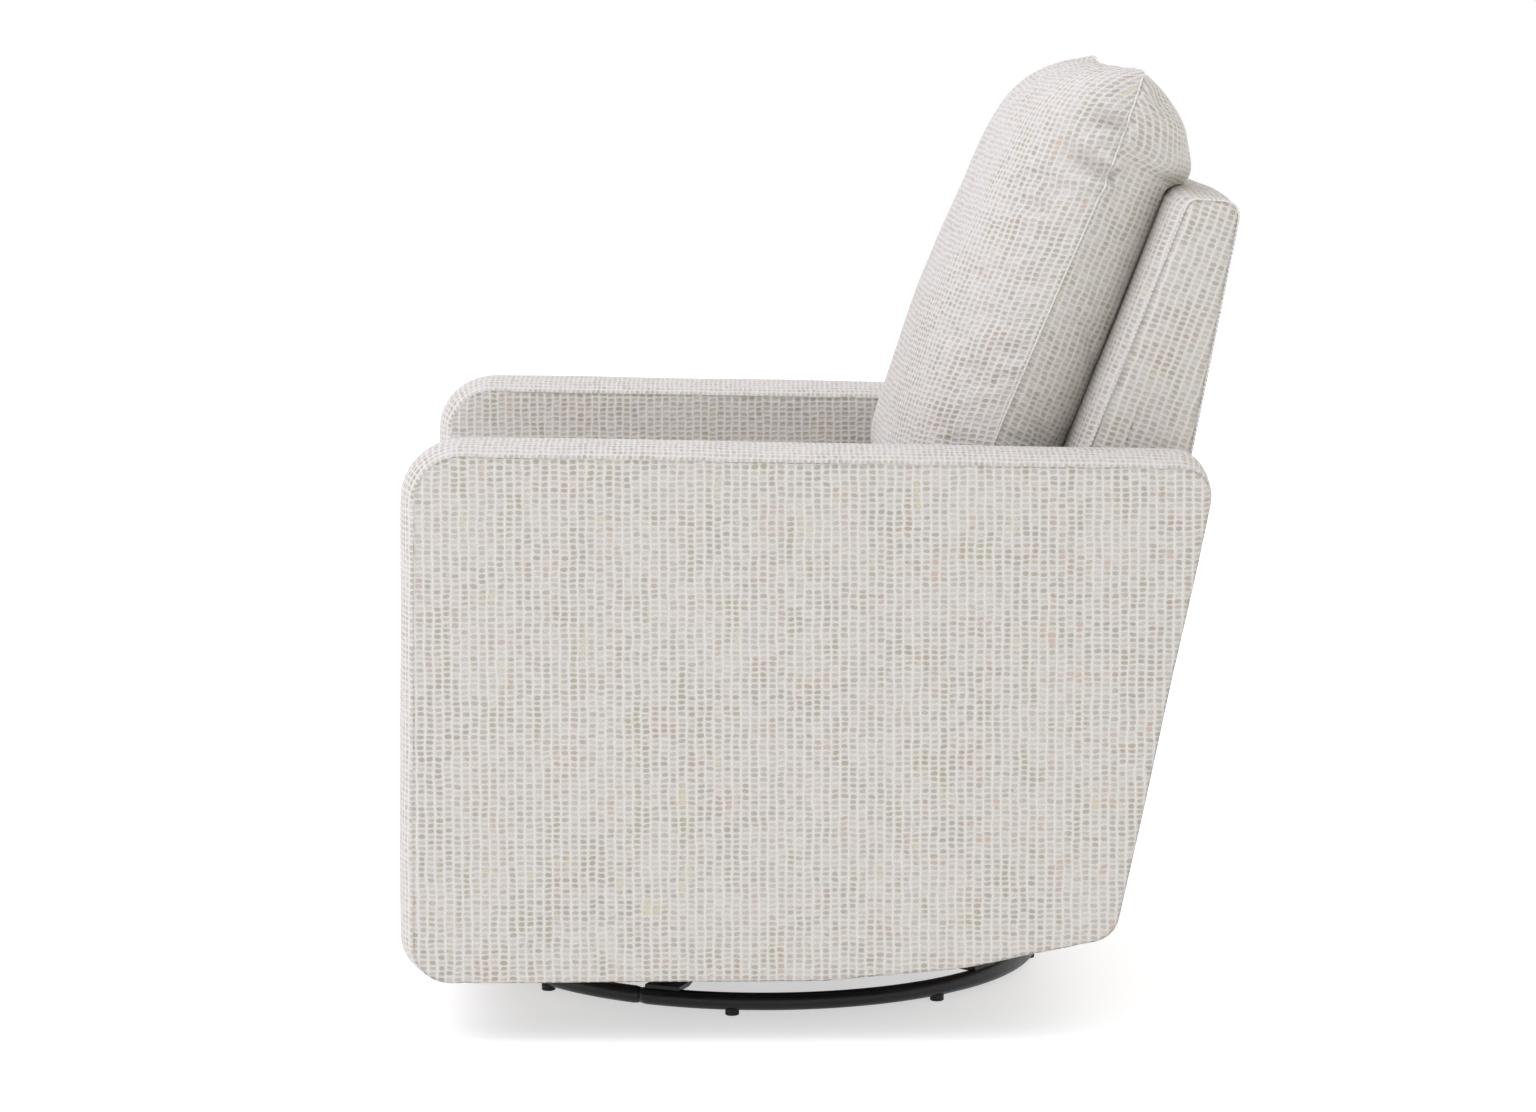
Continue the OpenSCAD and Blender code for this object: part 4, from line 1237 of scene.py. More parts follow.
@dataclass
class BackPillow:
    """The loose back pillow: a front and a back panel joined at one seam all round."""

    palette: Palette
    half_w: float = 0.2465
    front_fullness: float = 2.75
    back_fullness: float = 4.5
    columns: int = 60
    rows: int = 152
    seam_gap: float = 0.009
    seam_out: float = 0.0008
    ear_reach: float = 0.018
    swell: float = 0.022
    folds: Sequence[Fold] = (
        Fold((0.308, 0.894), (0.272, 0.906), 0.0095, 0.0048), Fold((0.300, 0.842), (0.246, 0.870), 0.0125, 0.0055),
        Fold((0.228, 0.809), (0.200, 0.822), 0.0055, 0.0048), Fold((0.205, 0.665), (0.175, 0.672), 0.0022),
    )

    def front_path(self) -> Path:
        """Middle line of the front panel, from the top seam to the bottom seam."""
        return Path([
            Corner(0.316, 0.949), Corner(0.280, 0.9595, 0.045), Corner(0.226, 0.938, 0.085),
            Corner(0.096, 0.611, 0.22), Corner(0.058, 0.484, 0.040), Corner(0.140, 0.484),
        ])

    def back_path(self) -> Path:
        """Middle line of the back panel, from the top seam to the bottom seam."""
        return Path([
            Corner(0.316, 0.949), Corner(0.334, 0.945, 0.022), Corner(0.373, 0.890, 0.036),
            Corner(0.372, 0.8385, 0.012), Corner(0.350, 0.8385, 0.003), Corner(0.2115, 0.484, 0.014),
            Corner(0.140, 0.484),
        ])

    def side_path(self) -> Path:
        """The seam at each side, from its upper corner to its lower corner."""
        return Path([
            Corner(0.325, 0.954), Corner(0.307, 0.900, 0.08), Corner(0.284, 0.838, 0.2), Corner(0.242, 0.741, 0.3),
            Corner(0.184, 0.602, 0.3), Corner(0.146, 0.500, 0.03), Corner(0.139, 0.485),
        ])

    def across(self, fullness: float) -> tuple[np.ndarray, np.ndarray]:
        """Spacing across the pillow: the share of the width, and the fullness there."""
        angle = np.linspace(0, math.pi / 2, 400)
        share, full = np.sin(angle) ** (2 / fullness), np.cos(angle) ** (2 / fullness)
        run = np.concatenate([[0], np.cumsum(np.hypot(np.diff(share) * self.half_w, np.diff(full) * 0.10))])
        at = np.linspace(0, run[-1], self.columns + 1)
        half_s, half_f = np.interp(at, run, share), np.interp(at, run, full)
        half_f[-1], half_s[-1] = 0.0, 1.0
        return np.concatenate([-half_s[:0:-1], half_s]), np.concatenate([half_f[:0:-1], half_f])

    def panel(self, path: Path, shares: np.ndarray, seam_shares: np.ndarray, fullness: float) -> np.ndarray:
        """Grid of points of one panel, in rows from the top to the bottom.

        Args:
            path: Middle line of the panel.
            shares: Share of the middle line for each row.
            seam_shares: Share of the side seam for each row.
            fullness: How square the panel is across.

        Returns:
            Points by row and column.
        """
        ends = np.linspace(0, 1, self.rows + 1)
        own, shared = self.across(fullness), self.across(self.front_fullness)
        inside = ease(np.minimum(ends, 1 - ends) / 0.07)[:, None]
        u, full = (a * inside + b * (1 - inside) for a, b in zip(own, shared))
        mid, seam = path.at(shares), self.side_path().at(seam_shares)
        flat = seam[:, None, :] + (mid - seam)[:, None, :] * full[..., None]
        ear = 0.006 * np.exp(-((ends / 0.05) ** 2)) - 0.004 * ease((ends - 0.9) / 0.1)
        pinch = 0.0055 * np.sin(np.pi * ends) ** 0.5
        x = u * (self.half_w - 0.003 + pinch + 0.4 * ear)[:, None]
        rise = np.abs(u) ** 2 * (0.0050 - 0.0035 * u) * np.exp(-((ends / 0.09) ** 2))[:, None]
        return np.dstack([x, flat[..., 0], flat[..., 1] + rise])

    def build(self) -> None:
        """Build the pillow, swell it, add its gathers and its seam."""
        ends = np.linspace(0, 1, self.rows + 1)
        seam_shares = blurred(np.interp(ends, [0, 0.17, 0.84, 1], [0, 0.10, 0.955, 1]), 6)
        front_shares = blurred(np.interp(ends, [0, 0.17, 0.84, 1], [0, 0.19, 0.865, 1]), 4)
        back_shares = blurred(np.interp(ends, [0, 0.17, 0.27, 0.84, 1], [0, 0.17, 0.295, 0.895, 1]), 3)
        grids = [self.panel(self.front_path(), front_shares, seam_shares, self.front_fullness),
                 self.panel(self.back_path(), back_shares, seam_shares, self.back_fullness)]
        made = grid_solid("back_pillow_pad", grids, self.palette.cloth)
        loop = self.seam_loop(made, grids[0])
        simulate(made, 4.0, self.swell, -0.012, loop)
        self.gather(made)
        swollen = coordinates(made)
        ears = ease((np.abs(swollen[:, 0]) - 0.20) / 0.03) * ease((swollen[:, 2] - 0.928) / 0.018)
        blunt(made, 0.5 * ears, 14)
        set_coordinates(made, self.resting(self.rounded(coordinates(made))))
        path = coordinates(made)[loop]
        path[:, 0] += self.seam_out * np.sign(path[:, 0]) * (np.abs(path[:, 0]) > 0.2)
        wide, tall = grids[0].shape[1], grids[0].shape[0]
        cuts = np.cumsum([0, wide, tall - 1, wide - 1, tall - 2])
        runs = [self.between(path[a:b]) for a, b in zip(cuts, cuts[1:])]
        smoothed(made)
        attach(made, CHAIR, "back_pillow")
        attach(SeamLine(radius=0.0011).run("back_pillow_seam", runs, self.palette.seam), CHAIR)
        below = Vector((0, 0.165, SIZES.pillow_low.z - 0.05))
        Zip(self.palette).build(made, below, Vector((0, 1, 0)), Vector((0, 0, -1)))

    def between(self, run: np.ndarray) -> np.ndarray:
        """The part of a run of seam that stays clear of the pillow's corners."""
        ends = (np.linalg.norm(run - end, axis=1) for end in (run[0], run[-1]))
        return run[np.minimum(*ends) > self.seam_gap]

    def rounded(self, points: np.ndarray) -> np.ndarray:
        """Round the two upper corners, as seen from the front."""
        out, reach = points.copy(), self.ear_reach
        for side in (-1, 1):
            x, z = side * points[:, 0], points[:, 2]
            ear = (x > 0.2) & (z > 0.93)
            across = np.clip((x - x[ear].max()) / reach + 1, 0, 1)
            up = np.clip((z - z[ear].max()) / reach + 1, 0, 1)
            out[:, 0] -= side * reach * across * (1 - np.sqrt(1 - up**2 / 2))
            out[:, 2] -= reach * up * (1 - np.sqrt(1 - across**2 / 2))
        return out

    def seam_loop(self, made: bpy.types.Object, grid: np.ndarray) -> list[int]:
        """Vertex numbers of the seam, in order round the pillow."""
        border = np.vstack([grid[0], grid[1:, -1], grid[-1, -2::-1], grid[-2:0:-1, 0]])
        nearest = nearest_vertex(coordinates(made))
        return [nearest(p) for p in border]

    def gather(self, made: bpy.types.Object) -> None:
        """Press short folds into the front panel beside the upper seam corners."""
        points, normals = coordinates(made), vertex_normals(made)
        push = np.zeros(len(points))
        side = ease((np.abs(points[:, 0]) - 0.165) / 0.06)
        for fold in self.folds:
            run = np.array([fold.end[0] - fold.start[0], fold.end[1] - fold.start[1]])
            length = float(np.linalg.norm(run))
            run /= length
            from_start = points[:, 1:] - np.array(fold.start)
            along, across = from_start @ run, from_start @ np.array([-run[1], run[0]])
            band = ease((along + 0.004) / 0.012) * (1 - ease((along - 0.55 * length) / (0.6 * length)))
            wide = fold.width * (1 + 0.8 * np.clip(along / length, 0, 1.5))
            ridges = 0.6 * np.exp(-(((np.abs(across) - 2.1 * wide) / wide) ** 2))
            groove = np.exp(-((across / wide) ** 2)) - ridges
            push -= fold.depth * band * groove * side
        push *= 1 - ease((points[:, 2] - 0.925) / 0.02)
        push += 0.0016 * wavy(points, 0.17, 5.0) + 0.0006 * wavy(points, 0.06, 2.0)
        set_coordinates(made, points + normals * push[:, None])

    @staticmethod
    def resting(points: np.ndarray) -> np.ndarray:
        """Keep the pillow off the back frame and the seat cushion."""
        out, clear, top = points.copy(), 0.0007, SIZES.back_high.z
        lean = SIZES.inside_y(0.0) + np.minimum(out[:, 2], top) * math.tan(SIZES.inside_lean) - clear
        against = out[:, 2] < top - 0.004
        out[:, 1] = np.where(against, np.minimum(out[:, 1], lean), out[:, 1])
        hook = (out[:, 2] < top + clear) & (out[:, 1] > lean)
        out[:, 2] = np.where(hook, top + clear, out[:, 2])
        out[:, 2] = np.maximum(out[:, 2], SIZES.pillow_low.z + 0.0005)
        out[:, 0] = np.clip(out[:, 0], -SIZES.inner_x + 0.014, SIZES.inner_x - 0.014)
        return out


def blunt(obj: bpy.types.Object, weights: np.ndarray, rounds: int) -> None:
    """Even out part of a mesh, so that sharp tips become soft corners.

    Args:
        obj: The piece.
        weights: Share of the way to its neighbours' mean that each point moves in a round.
        rounds: How often it is repeated.
    """
    points = coordinates(obj)
    ends = np.array([edge.vertices[:] for edge in obj.data.edges])
    first, second = ends[:, 0], ends[:, 1]
    degree = np.bincount(ends.ravel(), minlength=len(points))[:, None]
    for _ in range(rounds):
        total = np.zeros_like(points)
        np.add.at(total, first, points[second])
        np.add.at(total, second, points[first])
        points += weights[:, None] * (total / degree - points)
    set_coordinates(obj, points)


def nearest_vertex(points: np.ndarray) -> Callable[[np.ndarray], int]:
    """A function that gives the number of the point nearest to a place."""
    tree = KDTree(len(points))
    for i, p in enumerate(points):
        tree.insert(p, i)
    tree.balance()
    return lambda p: int(tree.find(tuple(p))[1])


def lengths_along(grid: np.ndarray, axis: int) -> np.ndarray:
    """Length from the first row or column of a grid to each of its points."""
    steps = np.linalg.norm(np.diff(grid, axis=axis), axis=2)
    start = np.zeros_like(np.take(steps, [0], axis=axis))
    return np.concatenate([start, np.cumsum(steps, axis=axis)], axis=axis)


def grid_solid(name: str, grids: Sequence[np.ndarray], material: bpy.types.Material) -> bpy.types.Object:
    """Close two grids that share their borders, with cloth coordinates measured on each.

    Args:
        name: Name of the piece.
        grids: Points by row and column. The second one faces the other way.
        material: The cloth.

    Returns:
        The piece.
    """
    points: list[np.ndarray] = []
    faces: list[tuple[int, ...]] = []
    uvs: list[tuple[float, float]] = []
    for number, grid in enumerate(grids):
        rows, columns = grid.shape[:2]
        base = sum(len(p) for p in points)
        points.append(grid.reshape(-1, 3))
        down, over = lengths_along(grid, 0), lengths_along(grid, 1)
        v = down[rows // 2][None, :] - down
        u = over - over[:, columns // 2][:, None]
        for a, b, c, d in quads(rows - 1, columns - 1):
            quad = [b, c, d, a] if number else [a, d, c, b]
            faces.append(tuple(base + r * columns + k for r, k in quad))
            uvs.extend((float(u[r, k]) + number, float(v[r, k])) for r, k in quad)
    made = make_piece(name, np.vstack(points), faces, uvs, material)
    tidy_mesh(made, 0.0004)
    return made


@dataclass
class SeatCushion:
    """The loose seat cushion: a crowned top and bottom, and a boxing between two welted seams."""

    palette: Palette
    half_w: float = 0.2645
    crown: float = 0.016
    boxing_crown: float = 0.007
    swell: float = 0.022
    welt: float = 0.0028

    def build(self) -> None:
        """Build the cushion, swell it, and lay its welts and its zip."""
        low, high = SIZES.seat_low, SIZES.seat_high
        side, front, rear = self.half_w - self.boxing_crown, low.y + self.boxing_crown + 0.002, high.y - 0.034
        outline = Outline([Corner(-side, front, 0.040), Corner(side, front, 0.040),
                           Corner(side, rear, 0.030), Corner(-side, rear, 0.030)], 0.007)
        bottom, top = low.z + 0.009, high.z - self.crown - 0.008

        def lift(normals: np.ndarray) -> np.ndarray:
            """Rise of the boxing, more at the front."""
            return self.boxing_crown * (1 + 0.3 * np.clip(-normals[:, 1], 0, 1))

        pad = BoxedPad("seat_cushion_pad", outline, Axis.Z, bottom, top, lift,
                       spine=((-0.12, -0.13), (0.12, -0.13)), puff=self.crown, seam_dip=0.0015, band_columns=20)
        made = pad.build(self.palette.cloth)
        nearest = nearest_vertex(coordinates(made))
        loops = [[nearest(p) for p in pad.seam(upper)[:-1]] for upper in (True, False)]
        simulate(made, 3.0, self.swell, -0.006, loops[0] + loops[1])
        points = coordinates(made)
        points += vertex_normals(made) * (0.0016 * wavy(points, 0.22, 1.0))[:, None]
        points[:, 0] = np.clip(points[:, 0], -SIZES.inner_x + 0.0015, SIZES.inner_x - 0.0015)
        points[:, 2] = np.clip(points[:, 2], low.z + 0.0002, high.z + 0.002)
        lean = SIZES.inside_y(0.0) + points[:, 2] * math.tan(SIZES.inside_lean)
        points[:, 1] = np.minimum(points[:, 1], lean - 0.001)
        set_coordinates(made, points)
        lines = [points[loop] for loop in loops]
        welts = tube_along("seat_cushion_welts", lines, self.welt, self.palette.cloth, True)
        smoothed(made)
        attach(made, CHAIR, "seat_cushion")
        attach(welts, CHAIR)
        behind = Vector((0, high.y + 0.1, (bottom + top) / 2))
        Zip(self.palette).build(made, behind, Vector((0, 0, 1)), Vector((0, 1, 0)))


def tube_along(name: str, paths: Sequence[np.ndarray], radius: float, material: bpy.types.Material,
               closed: bool = False, sides: int = 10) -> bpy.types.Object:
    """A round tube swept along each path by a geometry node tree, with cloth coordinates from its place.

    Args:
        name: Name of the piece.
        paths: Lines of the tubes.
        radius: Radius of the tube.
        material: Its material.
        closed: Whether each path is a loop.
        sides: Faces round the tube.

    Returns:
        The piece.
    """
    maker = NodeMaker(name + "_tree", {"Radius": radius})
    inputs = maker.start.outputs
    ring = maker.add("GeometryNodeCurvePrimitiveCircle", {"Resolution": sides, "Radius": inputs["Radius"]})
    swept = maker.add("GeometryNodeCurveToMesh", {
        "Curve": inputs["Geometry"], "Profile Curve": ring.outputs[0], "Fill Caps": not closed})
    maker.finish(swept.outputs[0], material)
    made = maker.apply(name, curve_carrier(name + "_line", paths, closed))
    tidy_mesh(made, 1e-6)
    layer = made.data.uv_layers.get(UV_NAME) or made.data.uv_layers.new(name=UV_NAME)
    at = [made.data.vertices[loop.vertex_index].co for loop in made.data.loops]
    uvs = np.array([(p.x + 0.7 * p.z, p.y + 0.6 * p.z + radius) for p in at], np.float32)
    layer.data.foreach_set("uv", uvs.ravel())
    return made


# ---------------------------------------------------------------- steel, wood and plastic


def refined(node: str, name: str, material: bpy.types.Material, body: str, bevel: float = 0.0012,
            segments: int = 2) -> bpy.types.Object:
    """Replace a hard node with a copy that has rounded edges and clean shading.

    Args:
        node: The node.
        name: Name of the new piece.
        material: Its material.
        body: The body that it rides on.
        bevel: Width of its rounded edges.
        segments: Faces across a rounded edge.

    Returns:
        The piece.
    """
    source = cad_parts[node]
    mesh = source.data.copy()
    mesh.name = name
    mesh.materials.clear()
    mesh.materials.append(material)
    made = placed(name, mesh)
    work = bmesh.new()
    work.from_mesh(mesh)
    bmesh.ops.remove_doubles(work, verts=work.verts, dist=2e-5)
    bmesh.ops.dissolve_limit(work, angle_limit=math.radians(1.0), verts=work.verts, edges=work.edges)
    bmesh.ops.recalc_face_normals(work, faces=work.faces)
    for face in work.faces:
        face.smooth = True
    for edge in work.edges:
        if len(edge.link_faces) == 2:
            edge.smooth = edge.calc_face_angle(0.0) < math.radians(32)
    work.to_mesh(mesh)
    work.free()
    if bevel > 0:
        rounding = made.modifiers.new("rounding", "BEVEL")
        rounding.width, rounding.segments = bevel, segments
        rounding.limit_method, rounding.angle_limit = "ANGLE", math.radians(38)
        rounding.harden_normals = False
    return attach(made, body, node)


@dataclass
class SwivelBase:
    """The two swaged tube halves of the ring base, and the ribs of its glides."""

    palette: Palette
    ring_r: float = 0.286
    tube_r: float = 0.009
    centre_y: float = -0.052
    tube_z: float = 0.014
    joint_angle: float = math.radians(-27.0)
    glide_r: float = 0.0065
    glide_count: int = 8
    rib_r: float = 0.0009
    rib_pitch: float = 0.0021
    ribs_each: int = 3
    swage_depth: float = 0.0011
    swage_width: float = 0.0016
    joint_gap: float = 0.0006

    def ring_half(self, end: str, start: float) -> None:
        """One half of the ring tube, swaged at its ends.

        Args:
            end: Front or rear.
            start: Angle that it starts at.
        """
        low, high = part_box(f"base_ring_{end}")
        beyond = (low.y + high.y) / 2 - self.centre_y
        if beyond * math.sin(start + math.pi / 2) < 0:
            start += math.pi
        steps, sides = 150, 28
        gap = self.joint_gap / self.ring_r
        angles = np.linspace(start + gap, start + math.pi - gap, steps)
        inset = np.minimum(angles - angles[0], angles[-1] - angles) * self.ring_r
        radius = self.tube_r - self.swage_depth * np.exp(-((inset / self.swage_width) ** 2))
        points = []
        for angle, r in zip(angles, radius):
            for turn in 2 * math.pi * np.arange(sides) / sides:
                reach = self.ring_r + r * math.cos(turn)
                points.append((reach * math.cos(angle), self.centre_y + reach * math.sin(angle),
                               self.tube_z + r * math.sin(turn)))
        faces = [tuple(r * sides + c % sides for r, c in quad) for quad in quads(steps - 1, sides)]
        faces.append(tuple(range(sides - 1, -1, -1)))
        faces.append(tuple((steps - 1) * sides + k for k in range(sides)))
        made = make_piece(f"ring_tube_{end}", np.array(points), faces, None, self.palette.base)
        tidy_mesh(made, 1e-6)
        attach(made, "base", f"base_ring_{end}")

    def glide_spots(self) -> list[tuple[float, float]]:
        """Centres of the glides under the ring, found in the frame."""
        points = coordinates(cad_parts["floor_glides"])
        turn = np.arctan2(points[:, 1] - self.centre_y, points[:, 0])
        phase = np.angle(np.exp(1j * self.glide_count * turn).mean()) / self.glide_count
        angles = [phase + 2 * math.pi * k / self.glide_count for k in range(self.glide_count)]
        return [(self.ring_r * math.cos(a), self.centre_y + self.ring_r * math.sin(a)) for a in angles]

    def ribs(self) -> None:
        """Thin ribs round each glide, laid by a geometry node tree."""
        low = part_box("floor_glides")[0]
        maker = NodeMaker("glide_rib_tree", {"Rib Radius": self.rib_r, "Foot Radius": self.glide_r})
        inputs = maker.start.outputs
        ring = maker.add("GeometryNodeCurvePrimitiveCircle", {"Resolution": 28, "Radius": inputs["Foot Radius"]})
        wire = maker.add("GeometryNodeCurvePrimitiveCircle", {"Resolution": 6, "Radius": inputs["Rib Radius"]})
        rib = maker.add("GeometryNodeCurveToMesh", {"Curve": ring.outputs[0], "Profile Curve": wire.outputs[0]})
        rows = maker.add("GeometryNodeInstanceOnPoints", {"Points": inputs["Geometry"], "Instance": rib.outputs[0]})
        maker.finish(rows.outputs[0], self.palette.glide)
        heights = [low.z + 0.0012 + self.rib_pitch * k for k in range(self.ribs_each)]
        mesh = bpy.data.meshes.new("glide_rib_points")
        mesh.from_pydata([(x, y, z) for x, y in self.glide_spots() for z in heights], [], [])
        made = maker.apply("glide_ribs", placed("glide_rib_points", mesh))
        tidy_mesh(made, 1e-6)
        attach(made, "base")

    def build(self) -> None:
        """Build both halves of the ring and the ribs."""
        self.ring_half("front", self.joint_angle)
        self.ring_half("rear", self.joint_angle + math.pi)
        self.ribs()


@dataclass(frozen=True)
class Dressing:
    """Hard nodes that get the same finish, and how their pieces are named and rounded."""

    nodes: Sequence[str]
    finish: str
    body: str
    slot: str
    bevel: float
    suffix: str = ""
    names: Sequence[str] = ()
    segments: int = 2

    def build(self, palette: Palette) -> None:
        """Replace each node with its dressed copy."""
        names = self.names or [node + self.suffix for node in self.nodes]
        for node, name in zip(self.nodes, names):
            refined(node, name, getattr(palette, self.finish), self.body, self.bevel, self.segments)


def both(pattern: str) -> list[str]:
    """A name for the left and for the right side."""
    return [pattern.format(side) for side in ("left", "right")]


def links(side: str, end: str) -> list[Dressing]:
    """One swing link and its bushes."""
    body = f"{end}_{side}_link"
    return [Dressing([f"link_{end}_{side}"], "frame", body, "frame_steel", 0.0008, names=[f"swing_{end}_{side}"]),
            Dressing([f"bushes_{end}_{side}"], "nylon", body, "nylon", 0.0004, names=[f"bush_{end}_{side}"])]


DRESSINGS = [
    Dressing(["cross_bar_lower", "cross_bar_upper"], "base", "base", "base_steel", 0.0016, "_coated", segments=3),
    Dressing(["hub_plate"], "base", "base", "base_steel", 0.0012, "_coated", segments=3),
    Dressing(["floor_glides"], "glide", "base", "glide_plastic", 0.0006, names=["floor_glide_feet"]),
    Dressing(["ring_sleeves"], "base", "base", "base_steel", 0.0, "_coated"),
    Dressing(["bearing_lower_race", "swivel_bolt", "swivel_nut"], "zinc", "base", "zinc_steel", 0.0006, "_plated"),
    Dressing(["bearing_balls"], "zinc", "base", "zinc_steel", 0.0, "_plated"),
    Dressing(["turntable_plate", "cross_member_front", "cross_member_rear", *both("glider_bracket_{}")],
             "frame", "turntable", "frame_steel", 0.0007, "_coated"),
    Dressing(both("moving_plate_{}"), "frame", CHAIR, "frame_steel", 0.0007, "_coated"),
    *(part for side in ("left", "right") for end in ("front", "rear") for part in links(side, end)),
    Dressing(["bearing_upper_race"], "zinc", "turntable", "zinc_steel", 0.0006, "_plated"),
    Dressing(["upper_pivot_pins"], "zinc", "turntable", "zinc_steel", 0.0005, "_plated"),
    Dressing(["lower_pivot_pins", "plate_screws"], "zinc", CHAIR, "zinc_steel", 0.0005, "_plated"),
    Dressing(["glide_bumpers"], "rubber", "turntable", "bumper_rubber", 0.0012, names=["glide_bumper_pads"]),
    Dressing([*both("seat_rail_{}"), "seat_rail_front", "seat_rail_rear", "corner_blocks", *both("arm_blocks_{}"),
              "back_top_rail", "back_lower_rail"], "hardwood", CHAIR, "hardwood", 0.0015, "_beech"),
    Dressing(["front_board", "rear_board", *both("arm_panels_{}"), "back_side_panels"],
             "plywood", CHAIR, "plywood", 0.0006, "_birch"),
    Dressing(["spring_clips", "arm_bolts"], "zinc", CHAIR, "zinc_steel", 0.0006, "_plated"),
    Dressing(["back_webbing"], "webbing", CHAIR, "webbing", 0.0, names=["back_straps"]),
]


@dataclass
class SeatSprings:
    """Round-wire zigzag springs in place of the flat ones."""

    palette: Palette
    wire: float = 0.0020
    half_width: float = 0.024
    bar_pitch: float = 0.0236
    bend_steps: int = 7

    def build(self) -> None:
        """Find the springs' middle lines in the frame, and sweep a wire along each."""
        low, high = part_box("seat_springs")
        across = np.unique(coordinates(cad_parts["seat_springs"])[:, 0].round(4))
        clusters = np.split(across, np.flatnonzero(np.diff(across) > 0.03) + 1)
        start, end = low.y + self.wire, high.y - self.wire
        bars = int(round((end - start) / self.bar_pitch))
        pitch, z = (end - start) / bars, (low.z + high.z) / 2
        paths = [self.zigzag((c[0] + c[-1]) / 2, start, pitch, bars, z) for c in clusters]
        made = tube_along("zigzag_springs", paths, self.wire, self.palette.spring, sides=8)
        attach(made, CHAIR, "seat_springs")

    def zigzag(self, x: float, start: float, pitch: float, bars: int, z: float) -> np.ndarray:
        """Middle line of one spring, with round bends."""
        bend = pitch / 2
        reach = self.half_width - self.wire - bend
        points = [(x + reach, start, z)]
        for i in range(bars):
            side = -1 if i % 2 == 0 else 1
            y = start + i * pitch
            for k in range(self.bend_steps + 1):
                turn = math.pi * k / self.bend_steps
                points.append((x + side * (reach + bend * math.sin(turn)), y + bend * (1 - math.cos(turn)), z))
        points.append((x + (-reach if (bars - 1) % 2 else reach), start + bars * pitch, z))
        return np.array(points)


def thin_sheet(name: str, grid: np.ndarray, through: np.ndarray,
               material: bpy.types.Material) -> tuple[bpy.types.Object, np.ndarray]:
    """A closed thin sheet on a grid of points.

    Args:
        name: Name of the piece.
        grid: Points by row and column, on the side that lies against something.
        through: From that side to the open side.
        material: Its material.

    Returns:
        The piece, and the rim of its open side.
    """
    rows, columns = grid.shape[:2]
    lower = grid + through
    n = rows * columns
    faces = []
    for quad in quads(rows - 1, columns - 1):
        a, b, c, d = (r * columns + k for r, k in quad)
        faces += [(a, b, c, d), (d + n, c + n, b + n, a + n)]
    number = np.arange(n).reshape(rows, columns)
    rim = np.concatenate([number[0], number[1:, -1], number[-1, -2::-1], number[-2:0:-1, 0]]).tolist()
    faces += [(a, a + n, b + n, b) for a, b in zip(rim, rim[1:] + rim[:1])]
    made = make_piece(name, np.vstack([grid.reshape(-1, 3), lower.reshape(-1, 3)]), faces, None, material)
    tidy_mesh(made, 1e-6)
    return made, lower.reshape(-1, 3)[rim]


@dataclass(frozen=True)
class Block:
    """A flat tapered block of a zip, along X from one end to the other."""

    name: str
    first: float
    last: float
    first_half: float
    last_half: float
    lift: float
    depth: float

    def grid(self, at: np.ndarray, over: np.ndarray, out: np.ndarray) -> np.ndarray:
        """The four corners of its near face.

        Args:
            at: Where the block is measured from.
            over: Direction across it.
            out: Direction through it.

        Returns:
            The corners, by side and end.
        """
        run, base = np.array([1.0, 0, 0]), at + out * self.lift
        ends = ((self.first, self.first_half), (self.last, self.last_half))
        near, far = ([base + run * x + over * side * half for side in (-1, 1)] for x, half in ends)
        return np.array([near, far])


@dataclass
class Zip:
    """A zip on the hidden side of a cushion: tape, teeth and a slider with its tab."""

    palette: Palette
    half_length: float = 0.17
    half_tape: float = 0.011
    tooth_pitch: float = 0.0024
    thickness: float = 0.0004

    def build(self, cushion: bpy.types.Object, start: Vector, across: Vector, away: Vector) -> None:
        """Lay the zip on the cushion.

        Args:
            cushion: The cushion's pad.
            start: Middle of the zip, off the cushion.
            across: Direction across the tape.
            away: Direction from the cushion to the start.
        """
        tree = BVHTree.FromObject(cushion, bpy.context.evaluated_depsgraph_get())
        out, over = np.array(away), np.array(across)
        name, metal = cushion.name.replace("_pad", ""), self.palette.zip_metal

        def touch(x: float, aside: float) -> Vector:
            """The cushion's surface below a point of the tape."""
            origin = start + Vector((x, 0, 0)) + across * aside
            return tree.ray_cast(origin, -away)[0] or origin - away * 0.05

        asides = np.linspace(-self.half_tape, self.half_tape, 7)
        runs = np.linspace(-self.half_length, self.half_length, 70)
        grid = np.array([[touch(x, aside) + away * 0.0002 for aside in asides] for x in runs])
        tape = attach(thin_sheet(f"{name}_zip_tape", grid, out * self.thickness, self.palette.lining)[0], CHAIR)
        line = grid[:, 3] + out * (self.thickness + 0.0006)
        attach(SeamLine(self.tooth_pitch, 0.0017, 0.0012).run(f"{name}_zip_teeth", [line], metal), CHAIR)
        at = grid[3, 3] + out * (self.thickness + 0.0016)
        for block in (Block("slider", -0.005, 0.005, 0.004, 0.003, 0.0, 0.0016),
                      Block("tab", 0.003, 0.026, 0.0025, 0.003, 0.0016, 0.0009)):
            made = thin_sheet(f"{name}_zip_{block.name}", block.grid(at, over, out), out * block.depth, metal)[0]
            rounding = made.modifiers.new("rounding", "BEVEL")
            rounding.width, rounding.segments = 0.0004, 2
            attach(made, CHAIR)


